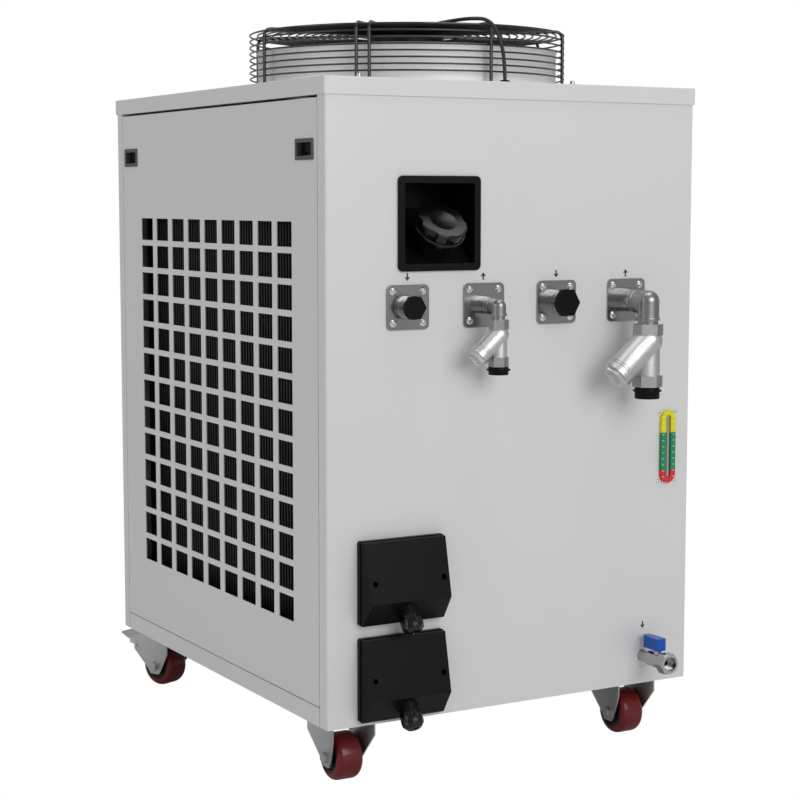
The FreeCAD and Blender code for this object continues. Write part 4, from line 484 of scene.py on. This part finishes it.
def applied(piece):
    """The piece with its modifiers in its mesh and none left on it."""
    bpy.context.view_layer.update()
    seen = piece.evaluated_get(bpy.context.evaluated_depsgraph_get())
    data = bpy.data.meshes.new_from_object(seen)
    piece.modifiers.clear()
    piece.data = data
    return piece


def merged_copy(node, name):
    """A copy of a CAD node with its seams joined and its flat faces made whole."""
    work = bmesh.new()
    work.from_mesh(nodes[node].data)
    bmesh.ops.remove_doubles(work, verts=work.verts, dist=1e-6)
    bmesh.ops.dissolve_limit(work, angle_limit=math.radians(0.6), verts=work.verts,
                             edges=work.edges, delimit={"NORMAL"})
    return from_bmesh(name, work)


def settle(piece, look, node):
    """The piece takes its finish and rides where the node rides."""
    give(piece, look)
    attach(piece, body_of_node[node])
    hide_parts(node)
    return piece


def softened(node, width, look, angle=32, segments=2):
    """The node with every sharp edge rounded over by this width."""
    piece = merged_copy(node, node + "_rounded")
    rounding = piece.modifiers.new("rounding", "BEVEL")
    rounding.width = width
    rounding.segments = segments
    rounding.limit_method = "ANGLE"
    rounding.angle_limit = math.radians(angle)
    rounding.use_clamp_overlap = True
    applied(piece)
    smooth_by_angle(piece, 40)
    flatten = piece.modifiers.new("flat_faces", "WEIGHTED_NORMAL")
    flatten.keep_sharp = True
    flatten.weight = 90
    applied(piece)
    return settle(piece, look, node)


def lathe(profile, place, aim, steps=48, radius_at=None):
    """A turned form: profile is (radius, distance along aim) from end to end."""
    work = bmesh.new()
    turn = Vector((0, 0, 1)).rotation_difference(Vector(aim)).to_matrix()
    rings = []
    for row, (radius, along) in enumerate(profile):
        ring = []
        for step in range(steps):
            angle = 2 * math.pi * step / steps
            reach = radius_at(row, angle, radius) if radius_at else radius
            point = turn @ Vector((reach * math.cos(angle), reach * math.sin(angle), along))
            ring.append(work.verts.new(Vector(place) + point))
        rings.append(ring)
    for lower, upper in zip(rings, rings[1:]):
        for step in range(steps):
            after = (step + 1) % steps
            work.faces.new((lower[step], lower[after], upper[after], upper[step]))
    return work, rings


def closed_lathe(name, profile, place, aim, steps=48, radius_at=None):
    """A turned ring whose profile comes back to where it starts."""
    work, rings = lathe(profile, place, aim, steps, radius_at)
    first, last = rings[0], rings[-1]
    for step in range(steps):
        after = (step + 1) % steps
        work.faces.new((last[step], last[after], first[after], first[step]))
    bmesh.ops.recalc_face_normals(work, faces=work.faces)
    return from_bmesh(name, work)


# Fan cable, over the guard and down to the lid
over = guard_top + 0.0038
motor_seat = guard_top - stay_size + 0.006
cable_points = [(-0.008, -0.040, motor_seat), (-0.008, -0.062, motor_seat), (-0.018, -0.100, over),
                (-0.030, -0.150, over), (-0.034, -0.200, over), (-0.026, -0.246, over + 0.001),
                (-0.008, -0.277, over - 0.002), (0.004, -0.289, over - 0.032),
                (0.014, -0.287, over - 0.070), (0.014, -0.287, lid_top - 0.001)]


def fan_cable():
    curve = bpy.data.curves.new("fan_cable_sheath", "CURVE")
    curve.dimensions = "3D"
    line = curve.splines.new("NURBS")
    line.points.add(len(cable_points) - 1)
    for point, (x, y, z) in zip(line.points, cable_points):
        point.co = (x, fan.y + y, z, 1)
    line.order_u = 3
    line.use_endpoint_u = True
    line.resolution_u = 16
    curve.bevel_depth = 0.003
    curve.bevel_resolution = 6
    curve.use_fill_caps = True
    piece = linked("fan_cable_sheath", curve)
    curve.materials.append(looks["cable"])
    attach(piece, "cabinet")
    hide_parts("fan_cable")
    return piece


fan_cable()


# Fan guard, made with geometry nodes
def geometry_tree(name, sockets):
    tree = bpy.data.node_groups.new(name, "GeometryNodeTree")
    tree.interface.new_socket("Geometry", in_out="INPUT", socket_type="NodeSocketGeometry")
    for label, kind in sockets:
        tree.interface.new_socket(label, in_out="INPUT", socket_type=kind)
    tree.interface.new_socket("Geometry", in_out="OUTPUT", socket_type="NodeSocketGeometry")
    return tree, tree.nodes.new("NodeGroupInput"), tree.nodes.new("NodeGroupOutput")


def swept_wire(tree, given, curve, wire_label):
    """A round wire along every curve that comes in."""
    section = tree.nodes.new("GeometryNodeCurvePrimitiveCircle")
    tree.links.new(given.outputs["Sides"], section.inputs["Resolution"])
    tree.links.new(given.outputs[wire_label], section.inputs["Radius"])
    sweep = tree.nodes.new("GeometryNodeCurveToMesh")
    sweep.inputs["Fill Caps"].default_value = True
    tree.links.new(curve, sweep.inputs["Curve"])
    tree.links.new(section.outputs["Curve"], sweep.inputs["Profile Curve"])
    return sweep.outputs["Mesh"]


def coloured(tree, given, mesh, made):
    paint = tree.nodes.new("GeometryNodeSetMaterial")
    tree.links.new(mesh, paint.inputs["Geometry"])
    tree.links.new(given.outputs["Material"], paint.inputs["Material"])
    tree.links.new(paint.outputs["Geometry"], made.inputs["Geometry"])


def ring_tree():
    """A wire ring for each point, as wide as the point's own ring_radius."""
    tree, given, made = geometry_tree("guard_rings", [
        ("Wire Radius", "NodeSocketFloat"), ("Sides", "NodeSocketInt"), ("Ring Steps", "NodeSocketInt"),
        ("Material", "NodeSocketMaterial")])
    ring = tree.nodes.new("GeometryNodeCurvePrimitiveCircle")
    ring.inputs["Radius"].default_value = 1.0
    tree.links.new(given.outputs["Ring Steps"], ring.inputs["Resolution"])
    wide = tree.nodes.new("GeometryNodeInputNamedAttribute")
    wide.data_type = "FLOAT"
    wide.inputs["Name"].default_value = "ring_radius"
    size = tree.nodes.new("ShaderNodeCombineXYZ")
    size.inputs["Z"].default_value = 1.0
    tree.links.new(wide.outputs["Attribute"], size.inputs["X"])
    tree.links.new(wide.outputs["Attribute"], size.inputs["Y"])
    copies = tree.nodes.new("GeometryNodeInstanceOnPoints")
    tree.links.new(given.outputs["Geometry"], copies.inputs["Points"])
    tree.links.new(ring.outputs["Curve"], copies.inputs["Instance"])
    tree.links.new(size.outputs["Vector"], copies.inputs["Scale"])
    real = tree.nodes.new("GeometryNodeRealizeInstances")
    tree.links.new(copies.outputs["Instances"], real.inputs["Geometry"])
    coloured(tree, given, swept_wire(tree, given, real.outputs["Geometry"], "Wire Radius"), made)
    return tree


def stay_tree():
    """A bent wire along every run of edges, with rounded shoulders."""
    tree, given, made = geometry_tree("guard_stays", [
        ("Wire Radius", "NodeSocketFloat"), ("Sides", "NodeSocketInt"), ("Shoulder", "NodeSocketFloat"),
        ("Material", "NodeSocketMaterial")])
    runs = tree.nodes.new("GeometryNodeMeshToCurve")
    tree.links.new(given.outputs["Geometry"], runs.inputs["Mesh"])
    bend = tree.nodes.new("GeometryNodeFilletCurve")
    if hasattr(bend, "mode"):
        bend.mode = "POLY"
    bend.inputs["Count"].default_value = 7
    tree.links.new(runs.outputs["Curve"], bend.inputs["Curve"])
    tree.links.new(given.outputs["Shoulder"], bend.inputs["Radius"])
    coloured(tree, given, swept_wire(tree, given, bend.outputs["Curve"], "Wire Radius"), made)
    return tree


def grown(piece, tree, values):
    """The mesh that the tree makes of the piece, with the tree taken off."""
    modifier = piece.modifiers.new(tree.name, "NODES")
    modifier.node_group = tree
    for item in tree.interface.items_tree:
        if item.in_out == "INPUT" and item.name in values:
            modifier[item.identifier] = values[item.name]
    piece.update_tag()
    return applied(piece)


# Guard wires: rings up the side from over the lid, closer rings across the top, and bent stays
first_ring = 0.0215
ring_pitch = 0.0104
side_rings = 8
top_ring_pitch = 0.013
least_top_ring = 0.085
stay_reach = 0.2682
stay_inner = 0.070
stay_shoulder = 0.012
stay_angles = [0, 45, 90, 135, 180, 270, 315, 223.0, 227.5]


def fan_guard():
    """Side rings, close rings across the top, stays and the eye plate."""
    places = [(guard_radius, lid_top + first_ring + ring_pitch * step) for step in range(side_rings)]
    radius = guard_radius
    while radius > least_top_ring:
        places.append((radius, guard_top - stay_size))
        radius -= top_ring_pitch
    points = bpy.data.meshes.new("guard_rings")
    points.from_pydata([(0, fan.y, z) for _, z in places], [], [])
    widths = points.attributes.new("ring_radius", "FLOAT", "POINT")
    widths.data.foreach_set("value", [radius for radius, _ in places])
    rings = linked("guard_rings", points)
    grown(rings, ring_tree(), {"Wire Radius": wire_radius, "Sides": 8, "Ring Steps": 120,
                               "Material": looks["guard"]})
    bends = []
    edges = []
    for degrees in stay_angles:
        unit = Vector((math.cos(math.radians(degrees)), math.sin(math.radians(degrees)), 0))
        high = guard_top - 0.0029
        runs = [(stay_reach, lid_top + 0.0025), (stay_reach, high), (stay_inner, high)]
        first = len(bends)
        bends += [Vector((0, fan.y, z)) + unit * reach for reach, z in runs]
        edges += [(first, first + 1), (first + 1, first + 2)]
    lines = bpy.data.meshes.new("guard_stays")
    lines.from_pydata(bends, edges, [])
    stays = linked("guard_stays", lines)
    grown(stays, stay_tree(), {"Wire Radius": stay_radius, "Sides": 10, "Shoulder": stay_shoulder,
                               "Material": looks["guard"]})
    eye = closed_lathe("guard_eye", [(0.056, -0.006), (0.0815, -0.006), (0.082, -0.0055),
                                     (0.082, -0.0035), (0.0815, -0.003), (0.056, -0.003)],
                       (0, fan.y, guard_top), (0, 0, 1), 64)
    for piece in (rings, stays, eye):
        give(piece, "guard")
        smooth_by_angle(piece, 50)
        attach(piece, "cabinet")
        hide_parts("fan_guard")


fan_guard()


# Impeller with curved blades, which reach from the hub to the tip, under the motor
blade_count = 5
blade_root = 0.060
blade_tip = 0.246
motor_height = 0.042
hub_height = 0.046


def fan_impeller():
    top = guard_top - stay_size - motor_height - 0.001
    middle = top - hub_height / 2
    work = bmesh.new()
    for number in range(blade_count):
        start = 2 * math.pi * number / blade_count
        grid = []
        for step in range(15):
            share = step / 14
            reach = blade_root + share * (blade_tip - blade_root)
            chord = 0.105 + 0.075 * math.sin(share * 1.9)
            pitch = math.radians(30 - 15 * share)
            sweep = math.radians(14) * share * share
            row = []
            for place in range(13):
                along = place / 12 - 0.5
                camber = 0.010 * (1 - 4 * along * along)
                flat = along * chord * math.cos(pitch)
                rise = along * chord * math.sin(pitch) + camber
                angle = start + sweep + flat / reach * (0.55 + 0.45 * share)
                row.append(work.verts.new((reach * math.cos(angle), fan.y + reach * math.sin(angle),
                                           middle + rise)))
            grid.append(row)
        for near, far in zip(grid, grid[1:]):
            for place in range(12):
                work.faces.new((near[place], near[place + 1], far[place + 1], far[place]))
    bmesh.ops.recalc_face_normals(work, faces=work.faces)
    blades = from_bmesh("fan_blades", work)
    thick = blades.modifiers.new("thick", "SOLIDIFY")
    thick.thickness = 0.003
    thick.offset = 0
    edge = blades.modifiers.new("edge", "BEVEL")
    edge.width = 0.0012
    edge.segments = 2
    edge.limit_method = "ANGLE"
    edge.angle_limit = math.radians(60)
    applied(blades)
    smooth_by_angle(blades, 50)
    hub = closed_lathe("fan_hub", [(0.0082, 0), (0.060, 0), (0.0655, -0.0015), (0.068, -0.005),
                                   (0.068, -0.042), (0.065, -hub_height), (0.0082, -hub_height)],
                       (0, fan.y, top), (0, 0, 1), 64)
    smooth_by_angle(hub, 40)
    for piece in (blades, hub):
        give(piece, "blades")
        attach(piece, body_of_node["fan_impeller"])
        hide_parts("fan_impeller")


fan_impeller()


# Wheels with a ringed hub and a crowned tread
wheel_radius = 0.0375
wheel_width = 0.045
wheel_shoulder = 0.0105
shoulder_steps = 8
tread_bore = 0.0262


def caster_wheel(name):
    """Tread and hub about the wheel's own axle, which is found from its node's corners."""
    node = "wheel_" + name
    low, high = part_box(node)
    middle = (low + high) / 2
    points = [vertex.co - middle for vertex in nodes[node].data.vertices]
    span_x = sum(p.x * p.x for p in points)
    span_y = sum(p.y * p.y for p in points)
    cross = sum(p.x * p.y for p in points)
    angle = 0.5 * math.atan2(2 * cross, span_x - span_y)
    aim = Vector((math.cos(angle + math.pi / 2), math.sin(angle + math.pi / 2), 0))
    if abs(aim.x) < abs(aim.y):
        aim = Vector((aim.y, -aim.x, 0))
    half = wheel_width / 2
    rise = []
    for step in range(shoulder_steps + 1):
        turn = math.pi / 2 * (1 - step / shoulder_steps)
        rise.append((wheel_radius - wheel_shoulder * (1 - math.cos(turn)),
                     -half + wheel_shoulder * (1 - math.sin(turn))))
    fall = [(radius, -along) for radius, along in reversed(rise)]
    tread = [(tread_bore, -half)] + rise + fall + [(tread_bore, half)]
    tyre = closed_lathe(node + "_tread", tread, middle, aim, 72)
    hub_line = [(0.0051, -half), (0.0115, -half), (0.0118, -half + 0.004), (0.0150, -half + 0.0045),
                (0.0155, -half + 0.002), (0.0172, -half + 0.002), (0.0178, -half + 0.0045),
                (0.0205, -half + 0.0045), (0.0212, -half + 0.001), (0.0240, -half + 0.0005),
                (0.0261, -half + 0.001)]
    hub_line = hub_line + [(radius, -along) for radius, along in reversed(hub_line)]
    hub = closed_lathe(node + "_hub", hub_line, middle, aim, 72)
    for piece, look in ((tyre, "tread"), (hub, "hub")):
        smooth_by_angle(piece, 38)
        settle(piece, look, node)


for corner in ("front_left", "front_right", "back_left", "back_right"):
    caster_wheel(corner)


# Cable glands with a ribbed nut, on the sloping chin of each junction cover
gland_x = 0.1255
gland_height = 0.019
gland_depth = 0.0265
gland_seat = 0.009
gland_tilt = math.radians(55)
cover_bottoms = (0.157, 0.0075)


def ribbed(row, angle, radius):
    """Eighteen grip ribs round the nut's straight part."""
    if 3 <= row <= 6:
        return radius + 0.0007 * (1 if math.cos(angle * 18) > 0 else -1)
    return radius


def six_sided(row, angle, radius):
    """Six flats, 30 mm apart, round the collar."""
    if row in (1, 2):
        turn = (angle + math.pi / 6) % (math.pi / 3) - math.pi / 6
        return min(radius, 0.0150 / math.cos(turn))
    return radius


def cable_glands():
    aim = Vector((0, -math.cos(gland_tilt), -math.sin(gland_tilt)))
    pieces = []
    for number, bottom in enumerate(cover_bottoms):
        seat = pipe_face(gland_x, bottom + gland_height, gland_depth) + aim * gland_seat
        collar = closed_lathe("gland_collar_%d" % number,
                              [(0.0071, -0.012), (0.0170, 0.0), (0.0170, 0.006), (0.0071, 0.007)],
                              seat, aim, 72, six_sided)
        nut = closed_lathe("gland_nut_%d" % number,
                           [(0.0071, 0.004), (0.0150, 0.006), (0.0158, 0.0063), (0.0164, 0.0075),
                            (0.0167, 0.010), (0.0167, 0.0165), (0.0160, 0.0190), (0.0150, 0.0208),
                            (0.0132, 0.0232), (0.0115, 0.0250), (0.0102, 0.0259), (0.0075, 0.0259),
                            (0.0071, 0.0250)],
                           seat, aim, 144, ribbed)
        pieces += [collar, nut]
    for piece in pieces:
        smooth_by_angle(piece, 34)
        settle(piece, "glossy_plastic", "cable_glands")


cable_glands()


# Nodes that get rounded edges: how wide, and the finish
soft_edges = [
    ("fan_motor", 0.0012, "motor"),
    ("cable_grommet", 0.0006, "plastic"),
    ("outlet_high_elbow", 0.0005, "satin"), ("outlet_low_elbow", 0.0006, "satin"),
    ("strainer_high_body", 0.0005, "body"), ("strainer_low_body", 0.0007, "body"),
    ("inlet_high_flange", 0.0006, "plate"), ("outlet_high_flange", 0.0006, "plate"),
    ("inlet_low_flange", 0.0006, "plate"), ("outlet_low_flange", 0.0006, "plate"),
    ("inlet_high_plug", 0.0012, "plastic"), ("inlet_low_plug", 0.0012, "plastic"),
    ("outlet_high_plug", 0.0008, "plastic"), ("outlet_low_plug", 0.0008, "plastic"),
    ("strainer_high_cap", 0.0009, "cast"), ("strainer_low_cap", 0.0012, "cast"),
    ("filler_tray", 0.0012, "plastic"), ("filler_neck", 0.0010, "glossy_plastic"),
    ("filler_cap", 0.0016, "glossy_plastic"), ("level_gauge", 0.0008, "strip"),
    ("junction_cover_upper", 0.0010, "plastic"), ("junction_cover_lower", 0.0010, "plastic"),
    ("junction_bases", 0.0010, "plastic"), ("latch_frames", 0.0006, "latch"),
    ("latch_paddle_front", 0.0005, "plastic"), ("latch_paddle_back", 0.0005, "plastic"),
    ("drain_valve_body", 0.0008, "brass"), ("drain_lever", 0.0022, "lever"),
    ("rigid_casters", 0.0008, "caster"), ("swivel_plates", 0.0008, "caster"),
    ("swivel_fork_back_left", 0.0008, "caster"), ("swivel_fork_back_right", 0.0008, "caster"),
    ("brake_pedal_back_left", 0.0010, "pedal"), ("brake_pedal_back_right", 0.0010, "pedal"),
    ("panel_screws", 0.0004, "screw"), ("cabinet_bolts", 0.0007, "zinc"),
]
for node, width, look in soft_edges:
    softened(node, width, look)


def strainer_ribs(name, strainer):
    """Two turned rings on the barrel, just behind the cap."""
    slant = Vector((-math.cos(branch_slope), 0, -math.sin(branch_slope)))
    start = pipe_face(strainer["x"], strainer["branch_z"], strainer["reach"])
    radius = strainer["branch_radius"]
    for number, back in enumerate((0.0085, 0.0125)):
        rib = closed_lathe("strainer_%s_rib_%d" % (name, number),
                           [(radius - 0.001, -0.0009), (radius + 0.0003, -0.0009),
                            (radius + 0.0007, -0.0003), (radius + 0.0007, 0.0003),
                            (radius + 0.0003, 0.0009), (radius - 0.001, 0.0009)],
                           start + slant * (strainer["branch_length"] - back), slant, 64)
        smooth_by_angle(rib, 60)
        give(rib, "cast")
        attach(rib, "cabinet")


for name, strainer in strainers.items():
    strainer_ribs(name, strainer)


# Sheet metal and the pieces inside keep their shape and get their finish
plain_nodes = [("lid", "enamel"), ("pipe_side_panel", "pipe_side"),
               ("control_side_panel", "enamel"), ("plain_side_panel", "side"),
               ("grille_panel", "side"), ("base_frame", "side"), ("fan_ring", "fan_ring"),
               ("condenser_coil", "coil"), ("compressor", "compressor"),
               ("refrigerant_lines", "copper"), ("plate_heat_exchanger", "stainless"),
               ("water_tank", "stainless"), ("water_pump", "steel"), ("water_hoses", "rubber"),
               ("electrical_box", "steel"), ("gauge_tube", "tube")]
for node, look in plain_nodes:
    give(nodes[node], look)


# Floor, backdrop and lights
def plain_floor():
    """A pale floor that the camera sees as white and that still lights the model from below."""
    material, tree, shader = new_material("pale_floor")
    shader.inputs["Base Color"].default_value = (0.75, 0.75, 0.75, 1)
    shader.inputs["Roughness"].default_value = 0.7
    path = tree.nodes.new("ShaderNodeLightPath")
    glow = tree.nodes.new("ShaderNodeEmission")
    glow.inputs["Color"].default_value = (1, 1, 1, 1)
    blend = tree.nodes.new("ShaderNodeMixShader")
    tree.links.new(path.outputs["Is Camera Ray"], blend.inputs["Fac"])
    tree.links.new(shader.outputs[0], blend.inputs[1])
    tree.links.new(glow.outputs[0], blend.inputs[2])
    tree.links.new(blend.outputs[0], tree.nodes["Material Output"].inputs["Surface"])
    work = bmesh.new()
    bmesh.ops.create_grid(work, x_segments=8, y_segments=8, size=6.0)
    floor = from_bmesh("floor", work)
    floor.location = (0, 0, -0.0005)
    floor.data.materials.append(material)


plain_floor()

world = bpy.data.worlds.new("studio")
bpy.context.scene.world = world
world.use_nodes = True
sky = world.node_tree
backdrop = sky.nodes["Background"]
backdrop.inputs["Color"].default_value = (1, 1, 1, 1)
backdrop.inputs["Strength"].default_value = 0.40
plain_white = sky.nodes.new("ShaderNodeBackground")
plain_white.inputs["Color"].default_value = (1, 1, 1, 1)
plain_white.inputs["Strength"].default_value = 1.0
ray = sky.nodes.new("ShaderNodeLightPath")
choice = sky.nodes.new("ShaderNodeMixShader")
sky.links.new(ray.outputs["Is Camera Ray"], choice.inputs["Fac"])
sky.links.new(backdrop.outputs[0], choice.inputs[1])
sky.links.new(plain_white.outputs[0], choice.inputs[2])
sky.links.new(choice.outputs[0], sky.nodes["World Output"].inputs["Surface"])


def soft_lamp(name, place, target, size, power):
    data = bpy.data.lights.new(name, "AREA")
    data.shape = "RECTANGLE"
    data.size, data.size_y = size
    data.energy = power
    lamp = bpy.data.objects.new(name, data)
    lamp.location = place
    lamp.rotation_euler = (Vector(target) - Vector(place)).to_track_quat("-Z", "Y").to_euler()
    bpy.context.scene.collection.objects.link(lamp)


soft_lamp("window", (0.2, -3.5, 1.9), (0, 0, 0.6), (2.4, 2.0), 54)
soft_lamp("side_fill", (-3.4, 0.2, 1.6), (0, 0, 0.6), (1.8, 2.2), 22)
soft_lamp("overhead", (0.2, -0.2, 3.6), (0, 0, 1.0), (2.2, 2.2), 34)

bpy.context.scene.view_settings.view_transform = "Standard"
